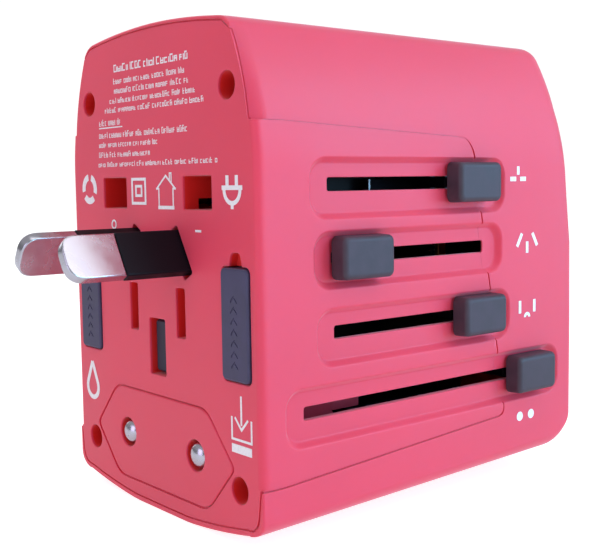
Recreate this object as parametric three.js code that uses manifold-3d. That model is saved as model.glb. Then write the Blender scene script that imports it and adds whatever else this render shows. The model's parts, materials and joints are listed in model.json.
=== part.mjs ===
// Universal travel adapter, in millimetres, +Z up.
// The origin is on the flat plug face, half way between the two upper rectangular pins.
// The pins come out towards -Y, the sliders are on the +X side and the socket is at +Y.
import * as THREE from "three";
import { mergeVertices } from "three/addons/utils/BufferGeometryUtils.js";
import Module from "manifold-3d";

const wasm = await Module();
wasm.setup();

// ---------------------------------------------------------------- driving dimensions

const GAP = 0.3; // air between two neighbouring pieces
const SNUG = 0.1; // air round a tang inside its sleeve

const BODY = {
  depth: 65,
  halfWidth: 24.75,
  top: 23.8,
  bottom: -46.8,
  topArc: 0.0038, // drop of the top arc per mm squared from the middle
  bottomArc: 0.0045,
  bottomFlat: 7, // half width of the flat that the case stands on
  bottomRise: 0.026, // rise of the bottom per mm of depth
  shoulder: 3, // height where the sides start to lean in
  shoulderCurve: 0.0155,
  cornerX: 17.2,
  cornerZ: 21.2,
  footX: 21.5,
  footZ: -42.2,
  rearRound: 3,
  rearRoundBelow: 5.5,
  wall: 2,
  plate: 2.4,
  rearWall: 2.2,
};

// The front shell's side tongues, and the rim of the rear shell round the plug face.
const SEAM = { top: 9.1, bottom: -38, rimAbove: 0.75, rimBelow: 1.05, rimSide: 0.6 };
const TONGUE = { round: 1.2, levelTo: 4, topY: 39.9, topZ: 7.4, footY: 47.6, footZ: -35.3, corner: 3 };

const GUIDE = { depth: 7, wall: 1 }; // walls behind the plug face that guide the pins
const CARRIER_FRONT = GUIDE.depth + GAP; // front of each carrier when its pins are out

const UK = { x: 11.1, earthZ: -22.2, width: 6.35, height: 4, earthWidth: 4, earthHeight: 8 };
const AU = { x: 6.7, z: -8.25, tilt: Math.PI / 6, width: 6.35, thickness: 1.65 };
const AU_SLEEVE = { width: 6.5, thickness: 1.8 };
const US = { x: 6.35, z: -16.75, width: 6.35, thickness: 1.6 };
const EU = { x: 9.2, z: -36.4, radius: 2, holeRadius: 2.25 };
const HOLE = { uk: 0.3, earth: 0.15, au: 0.25, auEnds: 0.25, us: 0.35 }; // air round each pin in the face

const HEX = { z: -36.4, halfWidth: 18.4, flatHalfWidth: 12.1, halfHeight: 6.95, depth: 27, windowFrom: 20.5 };
const HEX_ROUND = { tip: 1, shoulder: 1.5 };
const HEX_WALL = { side: 1.2, front: 2.5 };

// Slot height z, knob place in y with the pins in, the way the knob can go, the height of
// the pocket round the slot and how far its middle lies below the slot.
const SLIDER = {
  uk: { z: 0.9, rest: 39.7, travel: 23.2, pocket: 8.6, drop: 0.5 },
  au: { z: -8.9, rest: 39.1, travel: 22, pocket: 8.1, drop: 0.25 },
  us: { z: -19, rest: 41, travel: 23.5, pocket: 8.3, drop: 0.5 },
  eu: { z: -29.3, rest: 53.3, travel: 41.3, pocket: 8.45, drop: 0.3 },
};
const SLOT = { height: 1.85, round: 0.35, reach: 4.3 }; // reach: from the knob's middle to a slot end
const POCKET = { depth: 1, slope: 0.7, ahead: 4, behind: 3.7, round: 2.4 };
const KNOB = { length: 9.4, height: 5.9, proud: 2.25, round: 1.1, lift: 0.4, stem: 1.3, stemLength: 5.2 };
const ARM = { halfLength: 3, height: 1.6, end: 22.3 };

const SCREW = { upper: [18.4, 13.75], lower: [19.6, -39], hole: 1.85, boss: 2.3, seat: 8.8, depth: 10 };

const FUSE_PAD = { x: 19.55, z: -17.1, width: 5.9, height: 14.8, proud: 0.35, round: 0.8 };
const FUSE = { radius: 1.8, length: 10, y: 5.2 };

const SOCKET = { halfWidth: 19.05, top: 5.1, bottom: -31.7, round: 3, face: 64.6, back: 59.8 };
const OUTLET = { lineZ: -22, earthRise: 22.2, ukX: 11.1, euX: 9.5, usX: 6.35, auX: 7.4 };
const SHUTTER = { front: 57.4, back: 59.2, halfWidth: 16, top: -17.4, bottom: -26.6 };

const BOARD = { halfWidth: 18.6, front: 20, back: 59, z: 5.9, thickness: 1.2 };
const USB = { pitch: 8.4, width: 5.7, height: 13, length: 15.6, z: 7.4, mouth: 64 };

// ---------------------------------------------------------------- finishes

const finish = (color, roughness, metalness) =>
  new THREE.MeshStandardMaterial({ color, roughness, metalness });
const CORAL = finish("#dd5a74", 0.55, 0);
const SLATE = finish("#4a4e60", 0.5, 0);
const BLACK = finish("#1c1c20", 0.5, 0);
const IVORY = finish("#e9e5da", 0.5, 0);
const NICKEL = finish("#c9cbce", 0.25, 1);
const BRASS = finish("#c79a4b", 0.3, 1);
const STEEL = finish("#9a9ca0", 0.35, 1);
const BOARD_GREEN = finish("#1f6b3f", 0.6, 0);
const CAN_BLUE = finish("#27408a", 0.4, 0.2);
const FERRITE = finish("#3a3634", 0.7, 0);

// ---------------------------------------------------------------- geometry helpers

// A three.js geometry as a closed solid that can be joined and cut.
function solidOf(geometry) {
  const bare = geometry.index ? geometry.toNonIndexed() : geometry.clone();
  bare.deleteAttribute("normal");
  bare.deleteAttribute("uv");
  const merged = mergeVertices(bare, 1e-4);
  const vertProperties = merged.attributes.position.array;
  const triVerts = new Uint32Array(merged.index.array);
  return new wasm.Manifold(new wasm.Mesh({ numProp: 3, vertProperties, triVerts }));
}

function geometryOf(solid) {
  const mesh = solid.getMesh();
  const geometry = new THREE.BufferGeometry();
  geometry.setAttribute("position", new THREE.BufferAttribute(mesh.vertProperties, 3));
  geometry.setIndex(new THREE.BufferAttribute(mesh.triVerts, 1));
  return geometry;
}

const joined = (...all) => geometryOf(all.map(solidOf).reduce((a, b) => a.add(b)));
const cut = (body, ...cutters) =>
  geometryOf(cutters.map(solidOf).reduce((a, b) => a.subtract(b), solidOf(body)));
const common = (a, b) => geometryOf(solidOf(a).intersect(solidOf(b)));

const AXIS_X = new THREE.Vector3(1, 0, 0);
const AXIS_Y = new THREE.Vector3(0, 1, 0);
const AXIS_Z = new THREE.Vector3(0, 0, 1);
const TURN = {
  x: new THREE.Matrix4().makeBasis(AXIS_Y, AXIS_Z, AXIS_X), // outline drawn in y and z
  y: new THREE.Matrix4().makeBasis(AXIS_X, AXIS_Z, AXIS_Y.clone().negate()), // in x and z
  z: new THREE.Matrix4(), // in x and y
};

// An outline pulled straight along an axis, from one place on that axis to another.
function prism(axis, shape, from, to, curveSegments = 3) {
  const options = { depth: to - from, bevelEnabled: false, curveSegments };
  const geometry = new THREE.ExtrudeGeometry(shape, options);
  geometry.translate(0, 0, axis === "y" ? -to : from);
  return geometry.applyMatrix4(TURN[axis]);
}

function box(x0, x1, y0, y1, z0, z1) {
  const geometry = new THREE.BoxGeometry(x1 - x0, y1 - y0, z1 - z0);
  return geometry.translate((x0 + x1) / 2, (y0 + y1) / 2, (z0 + z1) / 2);
}

const polygon = (points) => new THREE.Shape(points.map(([a, b]) => new THREE.Vector2(a, b)));

// A polygon whose corners are rounded, each by its own radius or by one for all.
function roundedPolygon(points, radius) {
  const shape = new THREE.Shape();
  points.forEach(([a, b], i) => {
    const corner = new THREE.Vector2(a, b);
    const before = new THREE.Vector2(...points.at(i - 1));
    const after = new THREE.Vector2(...points[(i + 1) % points.length]);
    const reach = Array.isArray(radius) ? radius[i] : radius;
    const start = corner.clone().add(before.sub(corner).setLength(reach));
    const end = corner.clone().add(after.sub(corner).setLength(reach));
    if (i === 0) shape.moveTo(start.x, start.y);
    else shape.lineTo(start.x, start.y);
    if (reach > 0) shape.quadraticCurveTo(corner.x, corner.y, end.x, end.y);
  });
  shape.closePath();
  return shape;
}

function roundedRect(a, b, width, height, radius) {
  const [w, h] = [width / 2, height / 2];
  const corners = [
    [a - w, b - h],
    [a + w, b - h],
    [a + w, b + h],
    [a - w, b + h],
  ];
  return roundedPolygon(corners, radius);
}

const disc = (a, b, radius) => new THREE.Shape().absarc(a, b, radius, 0, 2 * Math.PI);

// A round bar along y.
const rod = (x, z, radius, from, to, segments = 12) =>
  prism("y", disc(x, z, radius), from, to, segments);

// A body turned round the y axis, from [radius, y] points that start and end on the axis.
const turned = (points, segments = 16) =>
  new THREE.LatheGeometry(points.map(([r, y]) => new THREE.Vector2(r, y)), segments);

// A closed skin over rings of points that all have the same number of points. The rings are
// drawn in two axes, such as x and z, and follow each other along the third.
function loft(rings, [across, up]) {
  const flat = (ring) => ring.map((p) => new THREE.Vector2(p[across], p[up]));
  const turn = (ring) => (THREE.ShapeUtils.isClockWise(flat(ring)) ? [...ring].reverse() : ring);
  const rows = rings.map(turn);
  const count = rows[0].length;
  const last = (rows.length - 1) * count;
  const faces = [];
  for (let start = 0; start < last; start += count) {
    for (let i = 0; i < count; i++) {
      const [a, b] = [start + i, start + ((i + 1) % count)];
      faces.push(a, b, b + count, a, b + count, a + count);
    }
  }
  for (const [a, b, c] of THREE.ShapeUtils.triangulateShape(flat(rows[0]), [])) {
    faces.push(a, c, b);
  }
  for (const [a, b, c] of THREE.ShapeUtils.triangulateShape(flat(rows.at(-1)), [])) {
    faces.push(last + a, last + b, last + c);
  }
  const along = across === "x" ? "y" : "x";
  const grows = rows.at(-1)[0][along] > rows[0][0][along];
  if (grows === (along === "y")) faces.reverse();
  const geometry = new THREE.BufferGeometry();
  const places = rows.flat().flatMap((p) => [p.x, p.y, p.z]);
  geometry.setAttribute("position", new THREE.Float32BufferAttribute(places, 3));
  geometry.setIndex(faces);
  return geometry;
}

function piece(name, geometry, material, position = [0, 0, 0], tilt = 0) {
  const mesh = new THREE.Mesh(geometry, material);
  mesh.name = name;
  mesh.position.set(...position);
  mesh.rotation.y = tilt;
  return mesh;
}

const SIDES = [
  { name: "line", sign: 1 },
  { name: "neutral", sign: -1 },
];

// ---------------------------------------------------------------- outer form of the case

const topZ = (x) => BODY.top - BODY.topArc * x * x;
const bottomZ = (x, y) =>
  BODY.bottom + BODY.bottomArc * Math.max(x * x, BODY.bottomFlat ** 2) + BODY.bottomRise * y;
const sideX = (z) => BODY.halfWidth - BODY.shoulderCurve * Math.max(0, z - BODY.shoulder) ** 2;
const chamfer = (z) => 0.35 + 0.07 * Math.max(0, 22.5 - z); // of the front edge above the tongue

// How far a round edge has drawn in at a distance behind the face it starts from.
function drawnIn(radius, distance) {
  if (distance >= radius) return 0;
  return radius - Math.sqrt(radius ** 2 - (radius - distance) ** 2);
}

// Three points on the way round a corner.
function cornerPoints(from, control, to) {
  const curve = new THREE.QuadraticBezierCurve(...[from, control, to].map((p) => new THREE.Vector2(...p)));
  return [0.25, 0.5, 0.75].map((t) => curve.getPoint(t)).map((p) => [p.x, p.y]);
}

// The right half of the case outline at a depth y, from the top middle to the edge of the flat.
function rightHalf(y) {
  const rise = BODY.bottomRise * y;
  const foot = BODY.footZ + rise;
  const topEnd = [BODY.cornerX, topZ(BODY.cornerX)];
  const sideTop = [sideX(BODY.cornerZ), BODY.cornerZ];
  const sideEnd = [BODY.halfWidth, foot];
  const bottomEnd = [BODY.footX, bottomZ(BODY.footX, y)];
  const step = 0.02;
  const cap = [BODY.cornerZ, 18.5, 15.5, 12.5, SEAM.top + step];
  const tongue = [SEAM.top - step, 6, BODY.shoulder, SEAM.bottom + step];
  return [
    ...[0, 6, 12, BODY.cornerX].map((x) => ({ x, z: topZ(x), band: "rim" })),
    ...cornerPoints(topEnd, [18.8, 22.4], sideTop).map(([x, z]) => ({ x, z, band: "rim" })),
    ...cap.map((z) => ({ x: sideX(z), z, band: "cap" })),
    ...tongue.map((z) => ({ x: sideX(z), z, band: "tongue" })),
    ...[SEAM.bottom - step, foot].map((z) => ({ x: sideX(z), z, band: "base" })),
    ...cornerPoints(sideEnd, [24.5, -44.4 + rise], bottomEnd).map(([x, z]) => ({ x, z, band: "base" })),
    ...[BODY.footX, 17, 12, BODY.bottomFlat].map((x) => ({ x, z: bottomZ(x, y), band: "under" })),
  ];
}

// The front edge of each band has its own shape.
function frontInset(point, y) {
  const fade = Math.max(0, 1 - y / 2.2) ** 1.5;
  const inset = {
    rim: [0.3 * fade, drawnIn(0.3, y)],
    cap: [chamfer(point.z) * fade, 0],
    tongue: [drawnIn(TONGUE.round, y), 0],
    base: [drawnIn(0.3, y), 0],
    under: [0, -drawnIn(0.3, y)],
  };
  return inset[point.band];
}

// The whole case outline at a depth y, shrunk towards the rear to round the rear edges.
function caseRing(y) {
  const middle = (BODY.top + BODY.bottom) / 2;
  const reach = (BODY.top - BODY.bottom) / 2;
  const toRear = BODY.depth - y;
  const side = 1 - drawnIn(BODY.rearRound, toRear) / BODY.halfWidth;
  const above = 1 - drawnIn(BODY.rearRound, toRear) / reach;
  const below = 1 - drawnIn(BODY.rearRoundBelow, toRear) / reach;
  const right = rightHalf(y).map((point) => {
    const [dx, dz] = frontInset(point, y);
    const x = (point.x - Math.sign(point.x) * dx) * side;
    const z = point.z - dz - middle;
    return { x, y, z: middle + z * (z > 0 ? above : below) };
  });
  const left = right.slice(1).map((p) => ({ ...p, x: -p.x }));
  return [...right, ...left.reverse()];
}

function caseForm() {
  const depths = [0, 0.3, 0.7, 1.2, 2.2, 59.5, 61.8, 63.4, 64.5, BODY.depth];
  return loft(depths.map(caseRing), ["x", "z"]);
}

// The hollow inside the case, one wall in from the outside.
function caseHollow() {
  const wall = BODY.wall;
  const ring = (y) => {
    const right = [
      [0, topZ(0) - wall],
      [10, topZ(10) - wall],
      [17, topZ(17) - wall - 0.2],
      [sideX(18.5) - wall, 18.5],
      [sideX(14) - wall, 14],
      [sideX(SEAM.top) - wall, SEAM.top],
      [BODY.halfWidth - wall, BODY.shoulder],
      [BODY.halfWidth - wall, -40 + BODY.bottomRise * y],
      [19.5, bottomZ(19.5, y) + wall],
      [10, bottomZ(10, y) + wall],
      [0, bottomZ(0, y) + wall],
    ].map(([x, z]) => ({ x, y, z }));
    const left = right.slice(1, -1).map((p) => ({ ...p, x: -p.x }));
    return [...right, ...left.reverse()];
  };
  return loft([BODY.plate, 60, BODY.depth - BODY.rearWall].map(ring), ["x", "z"]);
}

// The part of the case that belongs to the front shell: the plug face and the two side tongues.
function frontRegion(grow) {
  const face = [
    [0, topZ(0) - SEAM.rimAbove + grow],
    [10, topZ(10) - SEAM.rimAbove + grow],
    [17.9, topZ(17.9) - SEAM.rimAbove + grow],
    ...[19.5, 16, 12.5, SEAM.top + grow].map((z) => [sideX(z) - chamfer(z) + grow, z]),
    [30, SEAM.top + grow],
    [30, SEAM.bottom - grow],
    [BODY.halfWidth - SEAM.rimSide + grow, SEAM.bottom - grow],
    [23, -43.2 - grow],
    [21.8, bottomZ(21.8, 0) + SEAM.rimBelow - grow],
    [14, bottomZ(14, 0) + SEAM.rimBelow - grow],
    [BODY.bottomFlat, bottomZ(0, 0) + SEAM.rimBelow - grow],
  ];
  const mirrored = face.slice(1).map(([x, z]) => [-x, z]);
  const plate = prism("y", polygon([...face, ...mirrored.reverse()]), -2, BODY.plate + grow);
  const side = [
    [-2, SEAM.top + grow],
    [TONGUE.levelTo, SEAM.top + grow],
    [TONGUE.topY + grow, TONGUE.topZ + grow],
    [TONGUE.footY + grow, TONGUE.footZ - grow],
    [TONGUE.levelTo, SEAM.bottom - grow],
    [-2, SEAM.bottom - grow],
  ];
  const corner = TONGUE.corner + grow;
  const tongue = roundedPolygon(side, [0, 0, corner, corner / 2, 0, 0]);
  return joined(plate, prism("x", tongue, 21, 30), prism("x", tongue, -30, -21));
}

// ---------------------------------------------------------------- slots for the sliders

// The y range of the slot that the stem of a knob runs in.
function slotRange({ rest, travel }) {
  return [rest - travel - SLOT.reach, rest + SLOT.reach];
}

function sliderCutters(slider) {
  const [front, rear] = slotRange(slider);
  const length = rear - front;
  const slot = roundedRect((front + rear) / 2, slider.z, length, SLOT.height, SLOT.round);
  const centre = (front - POCKET.ahead + rear + POCKET.behind) / 2;
  const ring = (x, shrink) => {
    const width = length + POCKET.ahead + POCKET.behind - 2 * shrink;
    const height = slider.pocket - 2 * shrink;
    const outline = roundedRect(centre, slider.z - slider.drop, width, height, POCKET.round);
    return outline.getPoints(3).slice(0, -1).map((p) => ({ x, y: p.x, z: p.y }));
  };
  const floor = BODY.halfWidth - POCKET.depth;
  const overshoot = 2;
  const slope = POCKET.slope / POCKET.depth;
  const rings = [ring(floor, POCKET.slope), ring(BODY.halfWidth + overshoot, -overshoot * slope)];
  const pocket = loft(rings, ["y", "z"]);
  return [prism("x", slot, 20, 30), pocket];
}

// ---------------------------------------------------------------- holes in the plug face

const pinHole = (x, z, width, height, grow, from, to) =>
  prism("y", roundedRect(x, z, width + 2 * grow, height + 2 * grow, 0.5 + grow / 2), from, to);

// The holes that the pins slide through, each larger than its pin by its own air and by grow.
function pinHoles(grow, from, to) {
  const holes = [pinHole(0, UK.earthZ, UK.earthWidth, UK.earthHeight, HOLE.earth + grow, from, to)];
  for (const { sign } of SIDES) {
    holes.push(pinHole(sign * UK.x, 0, UK.width, UK.height, HOLE.uk + grow, from, to));
    holes.push(pinHole(sign * US.x, US.z, US.thickness, US.width, HOLE.us + grow, from, to));
    const width = AU_SLEEVE.width + 2 * HOLE.auEnds;
    const slanted = pinHole(0, 0, AU_SLEEVE.thickness, width, HOLE.au + grow, from, to);
    holes.push(slanted.rotateY(-sign * AU.tilt).translate(sign * AU.x, 0, AU.z));
  }
  return holes;
}

function hexOutline(grow) {
  const flat = HEX.flatHalfWidth + grow * 0.42;
  const wide = HEX.halfWidth + grow * 1.42;
  const high = HEX.halfHeight + grow;
  const corners = [
    [-wide, 0],
    [-flat, -high],
    [flat, -high],
    [wide, 0],
    [flat, high],
    [-flat, high],
  ];
  const { tip, shoulder } = HEX_ROUND;
  const rounds = [tip, shoulder, shoulder, tip, shoulder, shoulder];
  return roundedPolygon(corners.map(([x, z]) => [x, z + HEX.z]), rounds);
}

const screwPlaces = () =>
  [SCREW.upper, SCREW.lower].flatMap(([x, z]) => SIDES.map(({ sign }) => [sign * x, z]));

// The rectangular opening of a fuse drawer, with the notch for a fingernail above it.
function fuseOpenings() {
  return SIDES.flatMap(({ sign }) => {
    const x = sign * FUSE_PAD.x;
    const top = FUSE_PAD.z + FUSE_PAD.height / 2;
    const opening = roundedRect(x, FUSE_PAD.z, FUSE_PAD.width + 0.4, FUSE_PAD.height + 0.4, FUSE_PAD.round);
    const corners = [
      [x - 1.7, top],
      [x + 1.7, top],
      [x + 1, top + 2],
      [x - 1, top + 2],
    ];
    const notch = roundedPolygon(corners, [0, 0, 0.7, 0.7]);
    return [prism("y", opening, -1, BODY.plate + 1), prism("y", notch, -1, 1.3)];
  });
}

// ---------------------------------------------------------------- the two shells

function shellBlank() {
  return cut(caseForm(), caseHollow(), ...Object.values(SLIDER).flatMap(sliderCutters));
}

function frontShell(blank) {
  const bosses = screwPlaces().map(([x, z]) => rod(x, z, SCREW.boss, 2, SCREW.depth));
  const wells = screwPlaces().map(([x, z]) => rod(x, z, SCREW.hole, -1, SCREW.seat));
  const shanks = screwPlaces().map(([x, z]) => rod(x, z, 1.1, 1, SCREW.depth + 1, 8));
  const guides = pinHoles(GUIDE.wall, 2, GUIDE.depth);
  const plate = joined(common(blank, frontRegion(0)), ...guides, ...bosses);
  const hex = prism("y", hexOutline(0.25), -1, 12);
  const relief = box(6.4, 7.8, BODY.plate + 0.2, GUIDE.depth + 0.1, -2.4, -0.8);
  return cut(plate, ...pinHoles(0, -1, 12), ...wells, ...shanks, ...fuseOpenings(), hex, relief);
}

function rearShell(blank) {
  const start = SCREW.depth + GAP;
  const pillars = screwPlaces().map(([x, z]) => rod(x, z, SCREW.boss, start, BODY.depth - 1));
  const pilots = screwPlaces().map(([x, z]) => rod(x, z, 1.1, start - 1, start + 12, 8));
  const room = screwPlaces().map(([x, z]) => rod(x, z, SCREW.boss + GAP, -1, start));
  const rails = SIDES.map(({ sign }) => box(sign * 20.5 - 2.6, sign * 20.5 + 2.6, 48, 59, 4.2, 5.6));
  const socket = roundedRect(
    0,
    (SOCKET.top + SOCKET.bottom) / 2,
    2 * (SOCKET.halfWidth + 0.25),
    SOCKET.top - SOCKET.bottom + 0.5,
    SOCKET.round,
  );
  const ports = usbPlaces().map((x) =>
    prism("y", roundedRect(x, USB.z + USB.height / 2, USB.width + 0.6, USB.height + 0.6, 0.5), 60, 66),
  );
  const body = cut(cut(blank, frontRegion(GAP)), ...room);
  return cut(joined(body, ...pillars, ...rails), ...pilots, prism("y", socket, 60, 66), ...ports);
}

function housingScrew() {
  const head = turned(
    [
      [0, 7.1],
      [1.5, 7.1],
      [1.5, SCREW.seat - GAP],
      [0.75, SCREW.seat - GAP],
      [0.75, SCREW.depth + 10],
      [0, SCREW.depth + 11],
    ],
    12,
  );
  return cut(head, box(-1, 1, 6, 7.7, -0.25, 0.25), box(-0.25, 0.25, 6, 7.7, -1, 1));
}

// ---------------------------------------------------------------- pins and blades

// A rectangular pin with a tapered tip, whose core runs back inside its sleeve to the carrier.
function barPin({ width, height, tip, sleeveFrom, root }) {
  const ring = (y, shrink) =>
    roundedRect(0, 0, width - shrink, height - shrink, 0.5)
      .getPoints(3)
      .slice(0, -1)
      .map((p) => ({ x: p.x, y, z: p.y }));
  const nose = loft([ring(sleeveFrom, 0), ring(tip + 1.4, 0), ring(tip, 1.7)], ["x", "z"]);
  const core = box(1 - width / 2, width / 2 - 1, sleeveFrom - 0.5, root, 1 - height / 2, height / 2 - 1);
  return joined(nose, core);
}

// The plastic sleeve round the core of a rectangular pin or blade.
function sleeve(width, height, wallX, wallZ, from, to) {
  const outside = prism("y", roundedRect(0, 0, width, height, 0.4), from, to);
  const inside = [wallX - SNUG - width / 2, wallZ - SNUG - height / 2];
  return cut(outside, box(inside[0], -inside[0], from - 1, to + 1, inside[1], -inside[1]));
}

// A flat blade standing on edge, with a round-cornered tip and a thinner root.
function flatBlade({ width, thickness, tip, fullTo, root }) {
  const w = width / 2;
  const outline = roundedPolygon(
    [
      [tip, -w],
      [fullTo, -w],
      [fullTo, w],
      [tip, w],
    ],
    [w * 0.75, 0, 0, w * 0.75],
  );
  const blade = prism("x", outline, -thickness / 2, thickness / 2, 5);
  const t = thickness / 2 - 0.4;
  return joined(blade, box(-t, t, fullTo - 0.5, root, 0.7 - w, w - 0.7));
}

// ---------------------------------------------------------------- slider parts

// The arm of a carrier, from an x place to just inside the slot.
const arm = (slider, fromX, z = slider.z) => {
  const y = slider.rest - slider.travel;
  return box(fromX, ARM.end, y - ARM.halfLength, y + ARM.halfLength, z - ARM.height / 2, z + ARM.height / 2);
};

// A thumb knob with its stem, centred on its own slot place.
function knob() {
  const inner = BODY.halfWidth - POCKET.depth + KNOB.lift;
  const outer = BODY.halfWidth + KNOB.proud;
  const ring = (x, shrink) =>
    roundedRect(0, 0, KNOB.length - 2 * shrink, KNOB.height - 2 * shrink, KNOB.round)
      .getPoints(3)
      .slice(0, -1)
      .map((p) => ({ x, y: p.x, z: p.y }));
  const cap = loft([ring(inner, 0), ring(outer - 1, 0), ring(outer - 0.3, 0.3), ring(outer, 1)], ["y", "z"]);
  const [s, t] = [KNOB.stemLength / 2, KNOB.stem / 2];
  return joined(cap, box(ARM.end + GAP, inner + 0.5, -s, s, -t, t));
}

const knobPiece = (name, slider) =>
  piece(name + "_knob", knob(), SLATE, [0, slider.rest - slider.travel, slider.z]);

// Rectangular pins: the bar that holds them goes round the left of the other sets.
function britishSet() {
  const front = CARRIER_FRONT;
  const pinBase = { width: UK.width, height: UK.height, tip: -17.7, sleeveFrom: -8.5, root: front + 4.5 };
  const rear = SLIDER.uk.rest - SLIDER.uk.travel + ARM.halfLength;
  const back = rear - 5;
  const carrier = cut(
    joined(
      box(-15.5, 15.5, front, rear - 2, -2.6, 3.5),
      arm(SLIDER.uk, 12),
      box(-18, -15, back, rear, -25, 3.5),
      box(-18, 2.4, back, rear, -25, -21.2),
      box(-2.4, 2.4, front, rear, -26.4, -18.1),
    ),
    ...SIDES.map(({ sign }) =>
      box(sign * UK.x - 2.4, sign * UK.x + 2.4, front - 1, front + 5, -1.2, 1.2),
    ),
    box(-1.2, 1.2, front - 1, front + 5, UK.earthZ - 3.2, UK.earthZ + 3.2),
  );
  const group = new THREE.Group();
  group.position.y = SLIDER.uk.travel;
  group.add(piece("uk_carrier", carrier, BLACK), knobPiece("uk", SLIDER.uk));
  const leaf = box(16.2, 16.6, front - 4, rear - 6.3, -0.6, 1.5);
  group.add(piece("uk_detent_leaf", leaf, STEEL));
  for (const { name, sign } of SIDES) {
    const place = [sign * UK.x, 0, 0];
    group.add(piece(`uk_${name}_pin`, barPin(pinBase), BRASS, place));
    const cover = sleeve(UK.width, UK.height, 0.9, 0.9, pinBase.sleeveFrom + SNUG, front - GAP);
    group.add(piece(`uk_${name}_sleeve`, cover, BLACK, place));
  }
  const earthEnds = { tip: -22.3, sleeveFrom: front - GAP, root: front + 4.5 };
  const earth = { width: UK.earthWidth, height: UK.earthHeight, ...earthEnds };
  group.add(piece("uk_earth_pin", barPin(earth), SLATE, [0, 0, UK.earthZ]));
  return group;
}

// Slanting blades, which are out at rest.
function australianSet() {
  const front = CARRIER_FRONT;
  const rear = SLIDER.au.rest - SLIDER.au.travel + ARM.halfLength;
  const blade = { width: AU.width, thickness: AU.thickness, tip: -17.75, fullTo: -9.7, root: front + 4.5 };
  const group = new THREE.Group();
  const sockets = SIDES.map(({ sign }) =>
    box(-0.8, 0.8, front - 1, front + 5, -3.1, 3.1)
      .rotateY(-sign * AU.tilt)
      .translate(sign * AU.x, 0, AU.z),
  );
  const carrier = joined(box(-11.2, 11.4, front, rear, -12.2, -3.9), arm(SLIDER.au, 9));
  group.add(piece("au_carrier", cut(carrier, ...sockets), BLACK), knobPiece("au", SLIDER.au));
  for (const { name, sign } of SIDES) {
    const place = [sign * AU.x, 0, AU.z];
    const tilt = -sign * AU.tilt;
    group.add(piece(`au_${name}_blade`, flatBlade(blade), NICKEL, place, tilt));
    const cover = sleeve(AU_SLEEVE.thickness, AU_SLEEVE.width, 0.4, 0.7, blade.fullTo + SNUG, front - GAP);
    group.add(piece(`au_${name}_sleeve`, cover, BLACK, place, tilt));
  }
  return group;
}

// Parallel flat blades.
function americanSet() {
  const front = CARRIER_FRONT;
  const rear = SLIDER.us.rest - SLIDER.us.travel + ARM.halfLength;
  const ends = { tip: -17, fullTo: front - GAP, root: front + 4.5 };
  const blade = { width: US.width, thickness: US.thickness, ...ends };
  const group = new THREE.Group();
  group.position.y = SLIDER.us.travel;
  const carrier = cut(
    joined(
      box(-8.4, 8.4, front, rear, -17.5, -13.2),
      box(4.2, 8.4, front, rear, -20.2, -13.2),
      box(-8.4, -4.2, front, rear, -20.2, -13.2),
      arm(SLIDER.us, 8),
    ),
    ...SIDES.map(({ sign }) =>
      box(sign * US.x - 0.7, sign * US.x + 0.7, front - 1, front + 5, US.z - 2.7, US.z + 2.7),
    ),
  );
  group.add(piece("us_carrier", carrier, BLACK), knobPiece("us", SLIDER.us));
  for (const { name, sign } of SIDES) {
    group.add(piece(`us_${name}_blade`, flatBlade(blade), NICKEL, [sign * US.x, 0, US.z]));
  }
  return group;
}

// The six-sided block slides out of the face, and the round pins slide out of the block.
function europeanSet() {
  const group = new THREE.Group();
  const hollow = prism("y", hexOutline(-HEX_WALL.side), HEX_WALL.front, HEX.depth + 1);
  const holes = SIDES.map(({ sign }) => rod(sign * EU.x, EU.z, EU.holeRadius, -1, 4, 16));
  const lugs = SIDES.map(({ sign }) =>
    box(sign * 6.5 - 2.5, sign * 6.5 + 2.5, HEX.depth - 1.9, HEX.depth, -30.3, -28.3),
  );
  const window = box(13.4, 20, HEX.windowFrom, HEX.depth + 1, -35.4, -28); // beside the knob's arm
  const block = cut(joined(prism("y", hexOutline(0), 0, HEX.depth), ...lugs), hollow, window, ...holes);
  group.add(piece("eu_hex_block", block, CORAL));

  const bar = HEX.depth - 0.7;
  const back = SLIDER.eu.rest;
  const [low, high] = [SLIDER.eu.z - ARM.height / 2, SLIDER.eu.z + ARM.height / 2];
  const carrier = cut(
    joined(
      box(-12, 12, bar, bar + 4.5, EU.z - 2.9, EU.z + 2.9),
      box(2, 8, bar, back + ARM.halfLength, -38.4, -34.4),
      box(2, 8, back - ARM.halfLength, back + ARM.halfLength, -38.4, high),
      box(2, ARM.end, back - ARM.halfLength, back + ARM.halfLength, low, high),
    ),
    ...SIDES.map(({ sign }) => rod(sign * EU.x, EU.z, 1.5, bar - 1, bar + 3.6, 8)),
  );
  group.add(piece("eu_carrier", carrier, BLACK), piece("eu_knob", knob(), SLATE, [0, back, SLIDER.eu.z]));

  const tip = -0.3;
  const sleeveFrom = 10.4;
  const pin = turned([
    [0, tip],
    [1.1, tip + 0.2],
    [1.7, tip + 0.75],
    [EU.radius, tip + 1.6],
    [EU.radius, sleeveFrom],
    [1.3, sleeveFrom],
    [1.3, bar + 3.3],
    [0, bar + 3.3],
  ]);
  for (const { name, sign } of SIDES) {
    const place = [sign * EU.x, 0, EU.z];
    group.add(piece(`eu_${name}_pin`, pin, NICKEL, place));
    const cover = cut(
      rod(0, 0, 1.95, sleeveFrom + SNUG, bar - GAP),
      rod(0, 0, 1.3 + SNUG, sleeveFrom - 1, bar + 1),
    );
    group.add(piece(`eu_${name}_sleeve`, cover, BLACK, place));
  }
  return group;
}

// ---------------------------------------------------------------- fuses

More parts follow.
